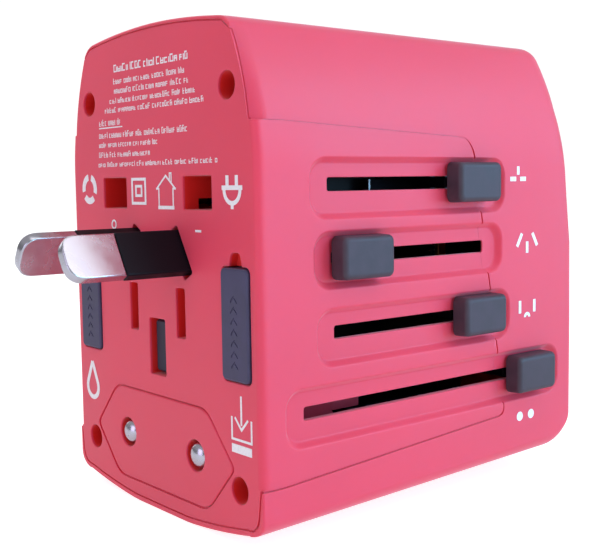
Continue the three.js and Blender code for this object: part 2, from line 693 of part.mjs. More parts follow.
// A drawer with a cover flush in the face and a cradle for a small cartridge fuse.
function fuseDrawer() {
  const outline = roundedRect(0, 0, FUSE_PAD.width, FUSE_PAD.height, FUSE_PAD.round);
  const cover = prism("y", outline, -FUSE_PAD.proud, 2.2);
  const tray = box(-2.3, 2.3, 1.5, 8.2, -6.8, 6.8);
  const cradle = box(-1.95, 4, FUSE.y - 2, FUSE.y + 2, -FUSE.length / 2 - 0.2, FUSE.length / 2 + 0.2);
  return cut(joined(cover, tray), cradle);
}

// A ceramic fuse with its end caps, lying along z.
function cartridgeFuse() {
  const [body, cap, half] = [FUSE.radius - 0.15, FUSE.radius, FUSE.length / 2];
  const profile = [
    [0, -half],
    [cap, -half],
    [cap, 2.2 - half],
    [body, 2.2 - half],
    [body, half - 2.2],
    [cap, half - 2.2],
    [cap, half],
    [0, half],
  ];
  return turned(profile, 12).rotateX(Math.PI / 2);
}

// The spring strip that meets one end of the fuse in use.
function fuseContact(upper) {
  const strip = [
    [8.6, 0],
    [12, 0],
    [12, -2.4],
    [11.4, -2.4],
    [11.4, -0.6],
    [8.6, -0.6],
  ];
  const shape = polygon(strip.map(([y, z]) => [y, upper * z + FUSE_PAD.z + upper * 6.6]));
  return prism("x", shape, FUSE_PAD.x - 1.5, FUSE_PAD.x + 1.5);
}

function fuses() {
  const group = new THREE.Group();
  const names = { line: ["fuse_drawer", "fuse"], neutral: ["spare_fuse_drawer", "spare_fuse"] };
  for (const { name, sign } of SIDES) {
    const [drawer, fuse] = names[name];
    group.add(piece(drawer, fuseDrawer(), SLATE, [sign * FUSE_PAD.x, 0, FUSE_PAD.z]));
    group.add(piece(fuse, cartridgeFuse(), IVORY, [sign * FUSE_PAD.x, FUSE.y, FUSE_PAD.z]));
  }
  group.add(piece("fuse_contact_upper", fuseContact(1), BRASS));
  group.add(piece("fuse_contact_lower", fuseContact(-1), BRASS));
  return group;
}

// ---------------------------------------------------------------- the socket at the rear

// The holes that take every common plug, through the socket plate.
function outletHoles(from, to) {
  const z = OUTLET.lineZ;
  const earth = prism("y", roundedRect(0, z + OUTLET.earthRise, 4.8, 8.8, 0.5), from, to);
  const pairs = SIDES.flatMap(({ sign }) => [
    prism("y", roundedRect(sign * OUTLET.ukX, z, 7.4, 4.7, 0.5), from, to),
    prism("y", roundedRect(sign * OUTLET.usX, z, 2.4, 8.2, 0.4), from, to),
    rod(sign * OUTLET.euX, z, 2.7, from, to, 16),
    prism("y", roundedRect(0, 0, 2.3, 8.6, 0.4), from, to)
      .rotateY(-sign * AU.tilt)
      .translate(sign * OUTLET.auX, 0, z),
  ]);
  return [earth, ...pairs];
}

function socketPlate() {
  const middle = (SOCKET.top + SOCKET.bottom) / 2;
  const height = SOCKET.top - SOCKET.bottom;
  const face = roundedRect(0, middle, 2 * SOCKET.halfWidth, height, SOCKET.round);
  const flange = roundedRect(0, middle, 2 * SOCKET.halfWidth + 2.6, height + 1.8, SOCKET.round);
  const seat = box(-2, 2, SHUTTER.front - 0.6, SOCKET.back + 0.5, -7.3, -6.2);
  const plate = joined(
    prism("y", face, SOCKET.back, SOCKET.face),
    prism("y", flange, SOCKET.back, BODY.depth - BODY.rearWall - GAP),
    seat,
  );
  return cut(plate, ...outletHoles(SOCKET.back - 1, SOCKET.face + 1));
}

// A coil spring's centre line, along z.
class Coil extends THREE.Curve {
  constructor(radius, height, turns) {
    super();
    Object.assign(this, { radius, height, turns });
  }
  getPoint(t, target = new THREE.Vector3()) {
    const angle = 2 * Math.PI * this.turns * t;
    return target.set(this.radius * Math.cos(angle), this.radius * Math.sin(angle), this.height * t);
  }
}

function shutterSpring() {
  const turns = 6;
  const wire = disc(0, 0, 0.25);
  const options = { steps: turns * 10, curveSegments: 3, extrudePath: new Coil(1, 8.8, turns) };
  return new THREE.ExtrudeGeometry(wire, options);
}

function contactBlock() {
  const wells = SIDES.map(({ sign }) => box(sign * 10.1 - 5, sign * 10.1 + 5, 49, 58, -26.4, -17.6));
  return cut(box(-17, 17, 47, 56.6, -27.4, -12.5), ...wells);
}

// A strip folded into a U, open towards the plug that is pushed in.
function socketContact() {
  const outside = [
    [49.4, -3.9],
    [56.2, -3.4],
    [56.2, -2.6],
    [50.3, -3],
    [50.3, 3],
    [56.2, 2.6],
    [56.2, 3.4],
    [49.4, 3.9],
  ];
  return prism("x", polygon(outside), -4, 4);
}

// The strip from the sliding contacts back to the socket contact and up to the charger board.
function busbar() {
  const outline = [
    [14, -7.2],
    [44.8, -7.2],
    [44.8, -20],
    [46.6, -20],
    [46.6, 5.4],
    [44.8, 5.4],
    [44.8, -3.4],
    [14, -3.4],
  ];
  return prism("x", polygon(outline), -0.4, 0.4);
}

function socket() {
  const group = new THREE.Group();
  const { front, back, halfWidth, top, bottom } = SHUTTER;
  group.add(piece("socket_plate", socketPlate(), SLATE));
  group.add(piece("shutter", box(-halfWidth, halfWidth, front, back, bottom, top), IVORY));
  group.add(piece("shutter_spring", shutterSpring(), STEEL, [0, (front + back) / 2, top + GAP + 0.25]));
  group.add(piece("contact_block", contactBlock(), IVORY));
  for (const { name, sign } of SIDES) {
    group.add(piece(`${name}_contact`, socketContact(), BRASS, [sign * 10.1, 0, OUTLET.lineZ]));
    group.add(piece(`${name}_busbar`, busbar(), BRASS, [sign * 13, 0, 0]));
  }
  return group;
}

// ---------------------------------------------------------------- the USB charger

const usbPlaces = () => [-1.5, -0.5, 0.5, 1.5].map((step) => step * USB.pitch);

// A socket standing on its short side, open at the rear, with the tongue inside.
function usbPort() {
  const [w, h] = [USB.width / 2, USB.height / 2];
  const can = box(-w, w, USB.mouth - USB.length, USB.mouth, -h, h);
  const mouth = box(0.3 - w, w - 0.3, USB.mouth - 12, USB.mouth + 1, 0.3 - h, h - 0.3);
  const tongue = box(-1.9, 0, USB.mouth - 12.5, USB.mouth - 0.8, 0.8 - h, h - 0.8);
  return joined(cut(can, mouth), tongue);
}

// A ferrite core round a taped winding.
function transformer() {
  const core = cut(box(-7, 7, -6, 6, 0, 11), box(-5, 5, -7, 7, 2.2, 8.8));
  return joined(core, box(-4.4, 4.4, -6.8, 6.8, 1.4, 9.6));
}

// An upright can with a groove near its foot.
function capacitor(radius, height) {
  const profile = [
    [0, 0],
    [radius, 0],
    [radius, 1],
    [radius - 0.4, 1.4],
    [radius, 1.8],
    [radius, height - 0.4],
    [radius - 0.4, height],
    [0, height],
  ];
  return turned(profile, 16).rotateX(Math.PI / 2);
}

function charger() {
  const group = new THREE.Group();
  const { halfWidth, front, back, z, thickness } = BOARD;
  const top = z + thickness + GAP;
  group.add(piece("charger_board", box(-halfWidth, halfWidth, front, back, z, z + thickness), BOARD_GREEN));
  usbPlaces().forEach((x, i) => {
    group.add(piece(`usb_port_${i + 1}`, usbPort(), NICKEL, [x, 0, top + USB.height / 2 - 0.1]));
  });
  group.add(piece("transformer", transformer(), FERRITE, [-5, 36, top]));
  group.add(piece("input_capacitor", capacitor(4, 11.5), CAN_BLUE, [9, 28, top]));
  group.add(piece("output_capacitor", capacitor(3.15, 9), CAN_BLUE, [9, 40, top]));
  group.add(piece("bridge_rectifier", box(-2.5, 2.5, -3, 3, 0, 2.4), BLACK, [-9, 24.5, top]));
  return group;
}

// ---------------------------------------------------------------- assembly

const blank = shellBlank();
const adapter = new THREE.Group();
adapter.add(piece("front_shell", frontShell(blank), CORAL));
adapter.add(piece("rear_shell", rearShell(blank), CORAL));
screwPlaces().forEach(([x, z], i) => {
  adapter.add(piece(`housing_screw_${i + 1}`, housingScrew(), STEEL, [x, 0, z]));
});
adapter.add(britishSet(), australianSet(), americanSet(), europeanSet());
adapter.add(fuses(), socket(), charger());

export default adapter;
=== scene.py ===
import json
import math
import random

import bpy
from mathutils import Matrix, Vector


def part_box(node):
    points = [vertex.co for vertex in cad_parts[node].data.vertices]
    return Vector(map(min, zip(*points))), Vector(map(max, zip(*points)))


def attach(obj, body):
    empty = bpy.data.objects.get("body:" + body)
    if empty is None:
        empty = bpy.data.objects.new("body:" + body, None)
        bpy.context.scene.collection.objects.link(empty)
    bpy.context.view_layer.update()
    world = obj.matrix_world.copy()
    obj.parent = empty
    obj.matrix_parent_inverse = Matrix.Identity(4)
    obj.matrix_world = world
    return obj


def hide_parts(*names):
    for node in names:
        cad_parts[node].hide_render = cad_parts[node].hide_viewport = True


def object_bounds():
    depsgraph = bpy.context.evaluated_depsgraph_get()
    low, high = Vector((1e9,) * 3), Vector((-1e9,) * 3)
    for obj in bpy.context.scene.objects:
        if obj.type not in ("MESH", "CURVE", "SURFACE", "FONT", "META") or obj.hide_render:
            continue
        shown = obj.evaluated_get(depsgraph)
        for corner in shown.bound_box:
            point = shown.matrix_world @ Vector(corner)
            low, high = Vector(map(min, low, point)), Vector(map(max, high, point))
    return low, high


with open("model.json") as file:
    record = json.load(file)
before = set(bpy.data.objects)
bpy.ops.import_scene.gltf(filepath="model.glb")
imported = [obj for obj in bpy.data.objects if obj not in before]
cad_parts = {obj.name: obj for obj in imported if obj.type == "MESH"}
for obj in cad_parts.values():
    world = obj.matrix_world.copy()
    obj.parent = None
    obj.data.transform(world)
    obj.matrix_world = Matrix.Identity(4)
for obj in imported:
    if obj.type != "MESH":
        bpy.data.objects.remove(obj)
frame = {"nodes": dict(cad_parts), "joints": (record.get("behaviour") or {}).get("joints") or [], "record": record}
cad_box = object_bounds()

# Pieces are drawn in millimetres and turned into metres when they are placed.
MM = 0.001

# ---- driving dimensions, mm

DEPTH = 65.0
HALF_WIDTH = 24.75
TOP, TOP_ARC = 23.8, 0.0038
BOTTOM, BOTTOM_ARC, BOTTOM_RISE = -46.8, 0.0045, 0.026
SHOULDER, SHOULDER_CURVE = 3.0, 0.0155
CORNER_X, CORNER_Z = 17.2, 21.2
BOTTOM_FLAT = 7.0
FOOT_X, FOOT_Z = 21.5, -42.2
REAR_ROUND_BELOW = 5.5
WALL, PLATE, REAR_WALL = 2.0, 2.4, 2.2
SEAM_TOP, SEAM_BOTTOM = 9.1, -38.0
SEAM_GAP, SEAM_GROOVE, GROOVE_DEPTH = 0.03, 0.28, 0.34
RIM_ABOVE, RIM_BELOW, RIM_SIDE = 0.75, 1.05, 0.6
TONGUE_ROUND = 1.2
TONGUE_LEVEL_TO, TONGUE_UPPER_END, TONGUE_LOWER_END = 4, (39.9, 7.4), (47.6, -35.3)
GUIDE_DEPTH, GUIDE_WALL = 7.0, 1.0
RAIL_X, RAIL_START, RAIL_END = 20.5, 48, 59
FILLET, REAR_FILLET, PORT_FILLET = 0.16, 0.5, 0.35

# tips and the ends of the full width or sleeve are given for a set that is out
UK_X, UK_WIDTH, UK_HEIGHT, UK_TIP, UK_FULL_TO = 11.1, 6.35, 4.0, -17.7, -8.5
EARTH_Z, EARTH_WIDTH, EARTH_HEIGHT, EARTH_TIP = -22.2, 4.0, 8.0, -22.3
AU_X, AU_Z, AU_TILT, AU_WIDTH, AU_THICK = 6.7, -8.25, math.pi / 6, 6.35, 1.65
AU_TIP, AU_FULL_TO, AU_SLEEVE_WIDTH, AU_SLEEVE_THICK = -17.75, -9.7, 6.5, 1.8
US_X, US_Z, US_WIDTH, US_THICK, US_TIP = 6.35, -16.75, 6.35, 1.6, -17.0
PIN_ROOT, SLEEVE_GAP = 11.8, 0.1
EU_X, EU_Z, EU_RADIUS, EU_HOLE = 9.2, -36.4, 2.0, 2.25
EU_TIP, EU_NOSE, EU_FULL_TO, EU_CORE, EU_ROOT = -0.3, 1.6, 10.4, 1.3, 29.6
HEX_Z, HEX_HALF, HEX_FLAT, HEX_HIGH, HEX_DEPTH, HEX_WALL = -36.4, 18.4, 12.1, 6.95, 27.0, 1.2
SLOT_HEIGHT, SLOT_ROUND, SLOT_REACH = 1.85, 0.35, 4.3
POCKET_DEPTH, POCKET_SLOPE, POCKET_AHEAD, POCKET_BEHIND, POCKET_ROUND = 1.0, 1.1, 4.0, 3.7, 2.8
KNOB_LENGTH, KNOB_HEIGHT, KNOB_PROUD, KNOB_ROUND = 9.4, 5.9, 2.25, 0.9
SLIDERS = {  # slot height, rear place of the knob, its travel, pocket height, drop of the pocket from the slot
    "uk": (0.9, 39.7, 23.2, 8.6, 0.5),
    "au": (-8.9, 39.1, 22.0, 8.1, 0.25),
    "us": (-19.0, 41.0, 23.5, 8.3, 0.5),
    "eu": (-29.3, 53.3, 41.3, 8.45, 0.3),
}
SCREWS = [(side * x, z) for x, z in ((18.4, 13.75), (19.6, -39.0)) for side in (1, -1)]
SCREW_HOLE, SCREW_BOSS, SCREW_SHANK, SCREW_SEAT, SCREW_DEPTH = 1.85, 2.3, 1.1, 8.8, 10.0
PAD_X, PAD_Z, PAD_WIDTH, PAD_HEIGHT, PAD_PROUD = 19.55, -17.1, 5.9, 14.8, 0.35
SOCKET_HALF, SOCKET_TOP, SOCKET_BOTTOM, SOCKET_FACE, SOCKET_BACK = 19.05, 5.1, -31.7, 64.6, 59.8
OUTLET_Z, OUTLET_EARTH, OUTLET_SLANT_X, OUTLET_ROUND_X = -22.0, 0.2, 7.4, 9.5
USB_PLACES = [step * 8.4 for step in (-1.5, -0.5, 0.5, 1.5)]
USB_WIDTH, USB_HEIGHT, USB_Z, USB_MOUTH, USB_BACK = 5.7, 13.0, 7.4, 64.0, 48.4
SIDES = (("line", 1), ("neutral", -1))


# ---- outlines

def bezier(a, b, c, count):
    """Points strictly between a and c on the curve that b pulls."""
    def at(t):
        return tuple((1 - t) ** 2 * p + 2 * t * (1 - t) * q + t * t * r for p, q, r in zip(a, b, c))

    return [at(i / (count + 1)) for i in range(1, count + 1)]


def spread(a, b, count):
    return [a + (b - a) * i / (count - 1) for i in range(count)]


def quarter(count):
    """Cosine and sine at even steps over a quarter turn."""
    return [(math.cos(a), math.sin(a)) for a in spread(0, math.pi / 2, count)]


def rounded(points, radius, count=6):
    """A closed outline whose corners are rounded; radius is one number or one for each corner."""
    out = []
    for i, point in enumerate(points):
        here = Vector(point)
        before, after = Vector(points[i - 1]), Vector(points[(i + 1) % len(points)])
        r = radius[i] if isinstance(radius, (list, tuple)) else radius
        if r <= 0:
            out.append(tuple(here))
            continue
        start = here + (before - here).normalized() * r
        end = here + (after - here).normalized() * r
        out += [tuple(start), *bezier(tuple(start), tuple(here), tuple(end), count), tuple(end)]
    return out


def rounded_rect(width, height, radius, centre=(0.0, 0.0), tilt=0.0, count=6):
    """A rectangle with circular corners, turned by tilt about its centre."""
    out = []
    quarters = ((1, 1, 0), (-1, 1, 1), (-1, -1, 2), (1, -1, 3))
    for sx, sy, quarter in quarters:
        cx, cy = sx * (width / 2 - radius), sy * (height / 2 - radius)
        for i in range(count + 1):
            angle = (quarter + i / count) * math.pi / 2
            out.append((cx + radius * math.cos(angle), cy + radius * math.sin(angle)))
    c, s = math.cos(tilt), math.sin(tilt)
    return [(centre[0] + x * c - y * s, centre[1] + x * s + y * c) for x, y in out]


def growing_rect(width, height, radius, centre=(0.0, 0.0), tilt=0.0, count=6, rate=1.0):
    """A rounded rectangle as a function of how much it grows; rate is how fast its corner radius follows."""
    def outline(grow):
        return rounded_rect(width + 2 * grow, height + 2 * grow, radius + grow * rate, centre, tilt, count)

    return outline


def circle(radius, centre=(0.0, 0.0), count=48):
    steps = [2 * math.pi * i / count for i in range(count)]
    return [(centre[0] + radius * math.cos(a), centre[1] + radius * math.sin(a)) for a in steps]


def top_z(x):
    return TOP - TOP_ARC * x * x


def bottom_z(x, y):
    return BOTTOM + BOTTOM_ARC * max(x * x, BOTTOM_FLAT ** 2) + BOTTOM_RISE * y


def side_x(z):
    return HALF_WIDTH - SHOULDER_CURVE * max(0.0, z - SHOULDER) ** 2


def chamfer(z):
    return 0.35 + 0.07 * max(0.0, 22.5 - z)


def drawn_in(radius, distance):
    """How far a round edge has drawn in at a distance behind the face that it starts from."""
    if distance >= radius:
        return 0.0
    return radius - math.sqrt(radius ** 2 - (radius - distance) ** 2)


def case_half(y):
    """The right half of the case outline at depth y, from the top middle to the bottom middle."""
    rise = BOTTOM_RISE * y
    foot = FOOT_Z + rise
    top_end, side_top = (CORNER_X, top_z(CORNER_X)), (side_x(CORNER_Z), CORNER_Z)
    side_end, bottom_end = (HALF_WIDTH, foot), (FOOT_X, bottom_z(FOOT_X, y))
    step = 0.02
    points = [(x, top_z(x), "rim") for x in spread(0, CORNER_X, 12)]
    points += [(x, z, "rim") for x, z in bezier(top_end, (18.8, 22.4), side_top, 8)]
    points += [(side_x(z), z, "cap") for z in spread(CORNER_Z, SEAM_TOP + step, 16)]
    points += [(side_x(z), z, "tongue") for z in spread(SEAM_TOP - step, SHOULDER, 9)]
    points += [(HALF_WIDTH, z, "tongue") for z in (-9.0, -23.0, SEAM_BOTTOM + step)]
    points += [(HALF_WIDTH, z, "base") for z in (SEAM_BOTTOM - step, foot)]
    points += [(x, z, "base") for x, z in bezier(side_end, (24.5, -44.4 + rise), bottom_end, 8)]
    points += [(x, bottom_z(x, y), "under") for x in spread(FOOT_X, 0, 14)]
    return points


def front_inset(z, band, y):
    """How far the front edge of a band has drawn in, across and upward."""
    fade = max(0.0, 1 - y / 2.2) ** 1.5
    return {
        "rim": (0.3 * fade, drawn_in(0.3, y)),
        "cap": (chamfer(z) * fade, 0.0),
        "tongue": (drawn_in(TONGUE_ROUND, y), 0.0),
        "base": (drawn_in(0.3, y), 0.0),
        "under": (0.0, -drawn_in(0.3, y)),
    }[band]


def rear_round(z):
    """Radius of the upright rear edges, which are softer near the top."""
    return min(5.0, max(1.0, 2.8 + 0.17 * z))


def case_ring(y):
    """The whole case outline at depth y, shrunk towards the rear to round the rear edges."""
    middle, reach = (TOP + BOTTOM) / 2, (TOP - BOTTOM) / 2
    above = 1 - drawn_in(rear_round(TOP), DEPTH - y) / reach
    below = 1 - drawn_in(REAR_ROUND_BELOW, DEPTH - y) / reach
    right = []
    for x, z, band in case_half(y):
        dx, dz = front_inset(z, band, y)
        up = z - dz - middle
        side = 1 - drawn_in(rear_round(z), DEPTH - y) / HALF_WIDTH
        across = x - dx if x > 0 else x
        right.append((across * side, y, middle + up * (above if up > 0 else below)))
    return right + [(-x, y, z) for x, y, z in right[-2:0:-1]]


def hex_outline(grow):
    flat, wide, high = HEX_FLAT + grow * 0.42, HEX_HALF + grow * 1.42, HEX_HIGH + grow
    corners = [(-wide, 0), (-flat, -high), (flat, -high), (wide, 0), (flat, high), (-flat, high)]
    return rounded([(x, z + HEX_Z) for x, z in corners], [1.1, 1.9, 1.9, 1.1, 1.9, 1.9], 8)


# ---- meshes

def new_mesh(name, verts, faces):
    mesh = bpy.data.meshes.new(name)
    mesh.from_pydata([Vector(v) for v in verts], [], faces)
    mesh.validate()
    obj = bpy.data.objects.new(name, mesh)
    bpy.context.scene.collection.objects.link(obj)
    return obj


def volume(obj):
    total = 0.0
    mesh = obj.data
    mesh.calc_loop_triangles()
    for tri in mesh.loop_triangles:
        a, b, c = (mesh.vertices[i].co for i in tri.vertices)
        total += a.dot(b.cross(c)) / 6
    return total


def closed_mesh(name, verts, faces):
    """A closed mesh whose faces look outward."""
    obj = new_mesh(name, verts, faces)
    if volume(obj) < 0:
        obj.data.flip_normals()
    return obj


def loft(name, rings):
    """A closed skin over rings of 3-D points, each with the same number of points."""
    count = len(rings[0])
    verts = [p for ring in rings for p in ring]
    faces = []
    for start in range(0, len(verts) - count, count):
        for i in range(count):
            a, b = start + i, start + (i + 1) % count
            faces.append((a, b, b + count, a + count))
    last = len(verts) - count
    faces.append(tuple(range(count - 1, -1, -1)))
    faces.append(tuple(range(last, last + count)))
    return closed_mesh(name, verts, faces)


PLACE = {
    "x": lambda across, up, along: (along, across, up),
    "y": lambda across, up, along: (across, along, up),
    "z": lambda across, up, along: (across, up, along),
}


def prism(name, axis, outline, start, end):
    """An outline pulled straight along an axis."""
    return loft(name, [[PLACE[axis](a, b, t) for a, b in outline] for t in (start, end)])


def box(name, x0, x1, y0, y1, z0, z1):
    return prism(name, "z", [(x0, y0), (x1, y0), (x1, y1), (x0, y1)], z0, z1)


def profile_loft(name, axis, outline, steps):
    """Rings of outline(grow) at the places along an axis that steps gives, as (place, grow)."""
    return loft(name, [[PLACE[axis](a, b, t) for a, b in outline(grow)] for t, grow in steps])


def mouth_steps(end, radius=FILLET):
    """The steps of a cutter along y whose mouth at the front face has a rounded edge."""
    curve = [(radius * (1 - c), radius * (1 - s)) for c, s in quarter(5)]
    return [(-1.0, radius), *curve, (end, 0.0)]


def rear_mouth_steps(face, end, radius):
    """The same for a cutter whose mouth is in a face at the rear."""
    curve = [(face - radius * (1 - c), radius * (1 - s)) for c, s in quarter(5)]
    return [(face + 1, radius), *curve, (end, 0.0)]


def edge_steps(front, back, radius):
    """The steps of a body along y with a rounded edge at its front."""
    curve = [(front + radius * (1 - s), radius * (c - 1)) for c, s in quarter(6)]
    return [*reversed(curve), (back, 0.0)]


def turned(name, profile, centre=(0.0, 0.0), count=48):
    """A body turned round an axis along y, from (radius, y) points that start and end on the axis."""
    inner = profile[1:-1]
    ring = [(math.cos(2 * math.pi * i / count), math.sin(2 * math.pi * i / count)) for i in range(count)]
    verts = [(centre[0] + r * c, y, centre[1] + r * s) for r, y in inner for c, s in ring]
    faces = []
    for row in range(len(inner) - 1):
        for i in range(count):
            a, b = row * count + i, row * count + (i + 1) % count
            faces.append((a, b, b + count, a + count))
    first, last = len(verts), len(verts) + 1
    verts += [(centre[0], profile[0][1], centre[1]), (centre[0], profile[-1][1], centre[1])]
    end = (len(inner) - 1) * count
    for i in range(count):
        faces.append((first, (i + 1) % count, i))
        faces.append((last, end + i, end + (i + 1) % count))
    return closed_mesh(name, verts, faces)


def boolean(target, operation, *others):
    """Joins, cuts or intersects target with the others, which are used up."""
    for other in others:
        change = target.modifiers.new("change", "BOOLEAN")
        change.operation = operation
        change.solver = "MANIFOLD"
        change.object = other
        depsgraph = bpy.context.evaluated_depsgraph_get()
        result = bpy.data.meshes.new_from_object(target.evaluated_get(depsgraph))
        target.modifiers.clear()
        old = target.data
        if not len(result.polygons):
            raise RuntimeError(f"{operation} of {target.name} with {other.name} left nothing")
        target.data = result
        result.name = target.name
        bpy.data.meshes.remove(old)
        bpy.data.objects.remove(other)
    return target


def join(target, *others):
    return boolean(target, "UNION", *others)


def cut(target, *others):
    return boolean(target, "DIFFERENCE", *others)


def finish_piece(obj, body, material, replaced=(), smooth=32):
    """Turns a piece into metres, shades it and ties it to its CAD body."""
    obj.data.transform(Matrix.Scale(MM, 4))
    obj.data.materials.clear()
    obj.data.materials.append(material)
    obj.data.shade_smooth()
    obj.data.set_sharp_from_angle(angle=math.radians(smooth))
    flats = obj.modifiers.new("flats", "WEIGHTED_NORMAL")
    flats.keep_sharp = True
    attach(obj, body)
    if replaced:
        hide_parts(*replaced)


def soften(obj, width):
    """Rounds the sharp edges of a piece with a bevel of so many millimetres."""
    bevel = obj.modifiers.new("soft_edges", "BEVEL")
    bevel.width = width * MM
    bevel.segments = 2
    bevel.limit_method = "ANGLE"
    bevel.angle_limit = math.radians(38)
    bevel.harden_normals = True


# ---- materials

def shader(name):
    material = bpy.data.materials.new(name)
    material.use_nodes = True
    nodes, links = material.node_tree.nodes, material.node_tree.links
    return material, nodes, links, nodes["Principled BSDF"]


def set_inputs(node, **values):
    """Sets the unlinked inputs of a shader node; an underscore stands for a space in an input's name."""
    for name, value in values.items():
        node.inputs[name.replace("_", " ")].default_value = value
    return node


def noise_node(nodes, links, scale, detail=3.0, stretch=(1.0, 1.0, 1.0)):
    """Noise in the object's own coordinates, with scale in features per millimetre."""
    place = nodes.new("ShaderNodeTexCoord")
    mapping = set_inputs(nodes.new("ShaderNodeMapping"), Scale=stretch)
    noise = set_inputs(nodes.new("ShaderNodeTexNoise"), Scale=scale / MM, Detail=detail)
    links.new(place.outputs["Object"], mapping.inputs["Vector"])
    links.new(mapping.outputs["Vector"], noise.inputs["Vector"])
    return noise


def ramp_node(nodes, links, source, low, high, low_at=0.3, high_at=0.7):
    ramp = nodes.new("ShaderNodeValToRGB")
    for element, spot, colour in zip(ramp.color_ramp.elements, (low_at, high_at), (low, high)):
        element.position = spot
        element.color = (*colour, 1)
    links.new(source, ramp.inputs["Fac"])
    return ramp


def range_node(nodes, links, source, low, high):
    limits = set_inputs(nodes.new("ShaderNodeMapRange"), From_Min=0.3, From_Max=0.7, To_Min=low, To_Max=high)
    links.new(source, limits.inputs["Value"])
    return limits


def bump_node(nodes, links, height, strength, distance, under=None):
    bump = set_inputs(nodes.new("ShaderNodeBump"), Strength=strength, Distance=distance * MM)
    links.new(height, bump.inputs["Height"])
    if under:
        links.new(under.outputs["Normal"], bump.inputs["Normal"])
    return bump


def scaled(colour, factor):
    return tuple(min(1.0, c * factor) for c in colour)


def inside_mask(nodes, links, limits):
    """One inside a block of space given by its middles and half sizes in mm, else zero."""
    place = nodes.new("ShaderNodeTexCoord")
    split = nodes.new("ShaderNodeSeparateXYZ")
    links.new(place.outputs["Object"], split.inputs["Vector"])
    total = None
    for axis, (middle, half) in limits.items():
        test = nodes.new("ShaderNodeMath")
        test.operation = "COMPARE"
        test.inputs[1].default_value = middle * MM
        test.inputs[2].default_value = half * MM
        links.new(split.outputs[axis], test.inputs[0])
        if total:
            both = nodes.new("ShaderNodeMath")
            both.operation = "MULTIPLY"
            links.new(total.outputs["Value"], both.inputs[0])
            links.new(test.outputs["Value"], both.inputs[1])
            test = both
        total = test
    return total


def moulded(name, colour, rough, grain, depth, shift, sheen=0, inside=None, level=0.5, cloud=0.06, glow=0):
    """Moulded plastic: a fine spark-eroded grain, soft flow marks and an uneven gloss.

    grain and cloud are in features per millimetre, depth is the height of the grain, shift the unevenness of
    the colour, inside the space where a deeper red is painted as a glow of light through the plastic, level the
    gloss and glow the light that goes in.
    """
    material, nodes, links, base = shader(name)
    flow = noise_node(nodes, links, cloud, 4.0)
    grain_noise = noise_node(nodes, links, grain, 2.0)
    tint = ramp_node(nodes, links, flow.outputs["Fac"], scaled(colour, 1 - shift), scaled(colour, 1 + shift))
    gloss = range_node(nodes, links, flow.outputs["Fac"], *rough)
    fine = bump_node(nodes, links, grain_noise.outputs["Fac"], 0.35, depth)
    waves = noise_node(nodes, links, 0.12, 1.0)
    soft = bump_node(nodes, links, waves.outputs["Fac"], 0.15, 0.05, fine)
    skin = tint.outputs["Color"]
    # painted glow: a deeper red painted inside the given space, for light come through the plastic
    if inside:
        painted_glow_mix = nodes.new("ShaderNodeMix")
        painted_glow_mix.data_type = "RGBA"
        painted_glow_mix.inputs["B"].default_value = (*PAINTED_GLOW_CORAL, 1)
        links.new(inside_mask(nodes, links, inside).outputs["Value"], painted_glow_mix.inputs["Factor"])
        links.new(skin, painted_glow_mix.inputs["A"])
        skin = painted_glow_mix.outputs["Result"]
    links.new(skin, base.inputs["Base Color"])
    links.new(gloss.outputs["Result"], base.inputs["Roughness"])
    links.new(soft.outputs["Normal"], base.inputs["Normal"])
    set_inputs(base, Specular_IOR_Level=level, Sheen_Weight=sheen, Sheen_Roughness=0.4)
    set_inputs(base, Subsurface_Weight=glow, Subsurface_Radius=(1.0, 0.12, 0.08), Subsurface_Scale=1.5 * MM)
    return material


def metal(name, colour, rough):
    """Drawn or plated metal with fine lines along its length and a cloudy gloss."""
    material, nodes, links, base = shader(name)
    lines = noise_node(nodes, links, 7.0, 3.0, (1.0, 0.04, 1.0))
    clouds = noise_node(nodes, links, 0.35, 4.0)
    tint = ramp_node(nodes, links, clouds.outputs["Fac"], scaled(colour, 0.94), scaled(colour, 1.06))
    gloss = range_node(nodes, links, clouds.outputs["Fac"], *rough)
    bump = bump_node(nodes, links, lines.outputs["Fac"], 0.12, 0.006)
    links.new(tint.outputs["Color"], base.inputs["Base Color"])
    links.new(gloss.outputs["Result"], base.inputs["Roughness"])
    links.new(bump.outputs["Normal"], base.inputs["Normal"])
    base.inputs["Metallic"].default_value = 1.0
    return material


def ink(name, colour):
    """Screen-printed ink, a little uneven in cover."""
    material, nodes, links, base = shader(name)
    cover = noise_node(nodes, links, 3.0, 3.0)
    tint = ramp_node(nodes, links, cover.outputs["Fac"], scaled(colour, 0.88), colour, 0.25, 0.55)
    bump = bump_node(nodes, links, cover.outputs["Fac"], 0.2, 0.006)
    links.new(tint.outputs["Color"], base.inputs["Base Color"])
    links.new(bump.outputs["Normal"], base.inputs["Normal"])
    base.inputs["Roughness"].default_value = 0.6
    return material


def circuit_board(name):
    """Green solder mask with copper tracks showing through it."""
    material, nodes, links, base = shader(name)
    place = nodes.new("ShaderNodeTexCoord")
    tracks = nodes.new("ShaderNodeTexVoronoi")
    tracks.distance = "CHEBYCHEV"
    tracks.inputs["Scale"].default_value = 0.35 / MM
    links.new(place.outputs["Object"], tracks.inputs["Vector"])
    greens = (0.01, 0.11, 0.035), (0.03, 0.2, 0.07)
    tint = ramp_node(nodes, links, tracks.outputs["Distance"], *greens, 0.35, 0.4)
    bump = bump_node(nodes, links, tracks.outputs["Distance"], 0.3, 0.03)
    links.new(tint.outputs["Color"], base.inputs["Base Color"])
    links.new(bump.outputs["Normal"], base.inputs["Normal"])
    base.inputs["Roughness"].default_value = 0.3
    return material


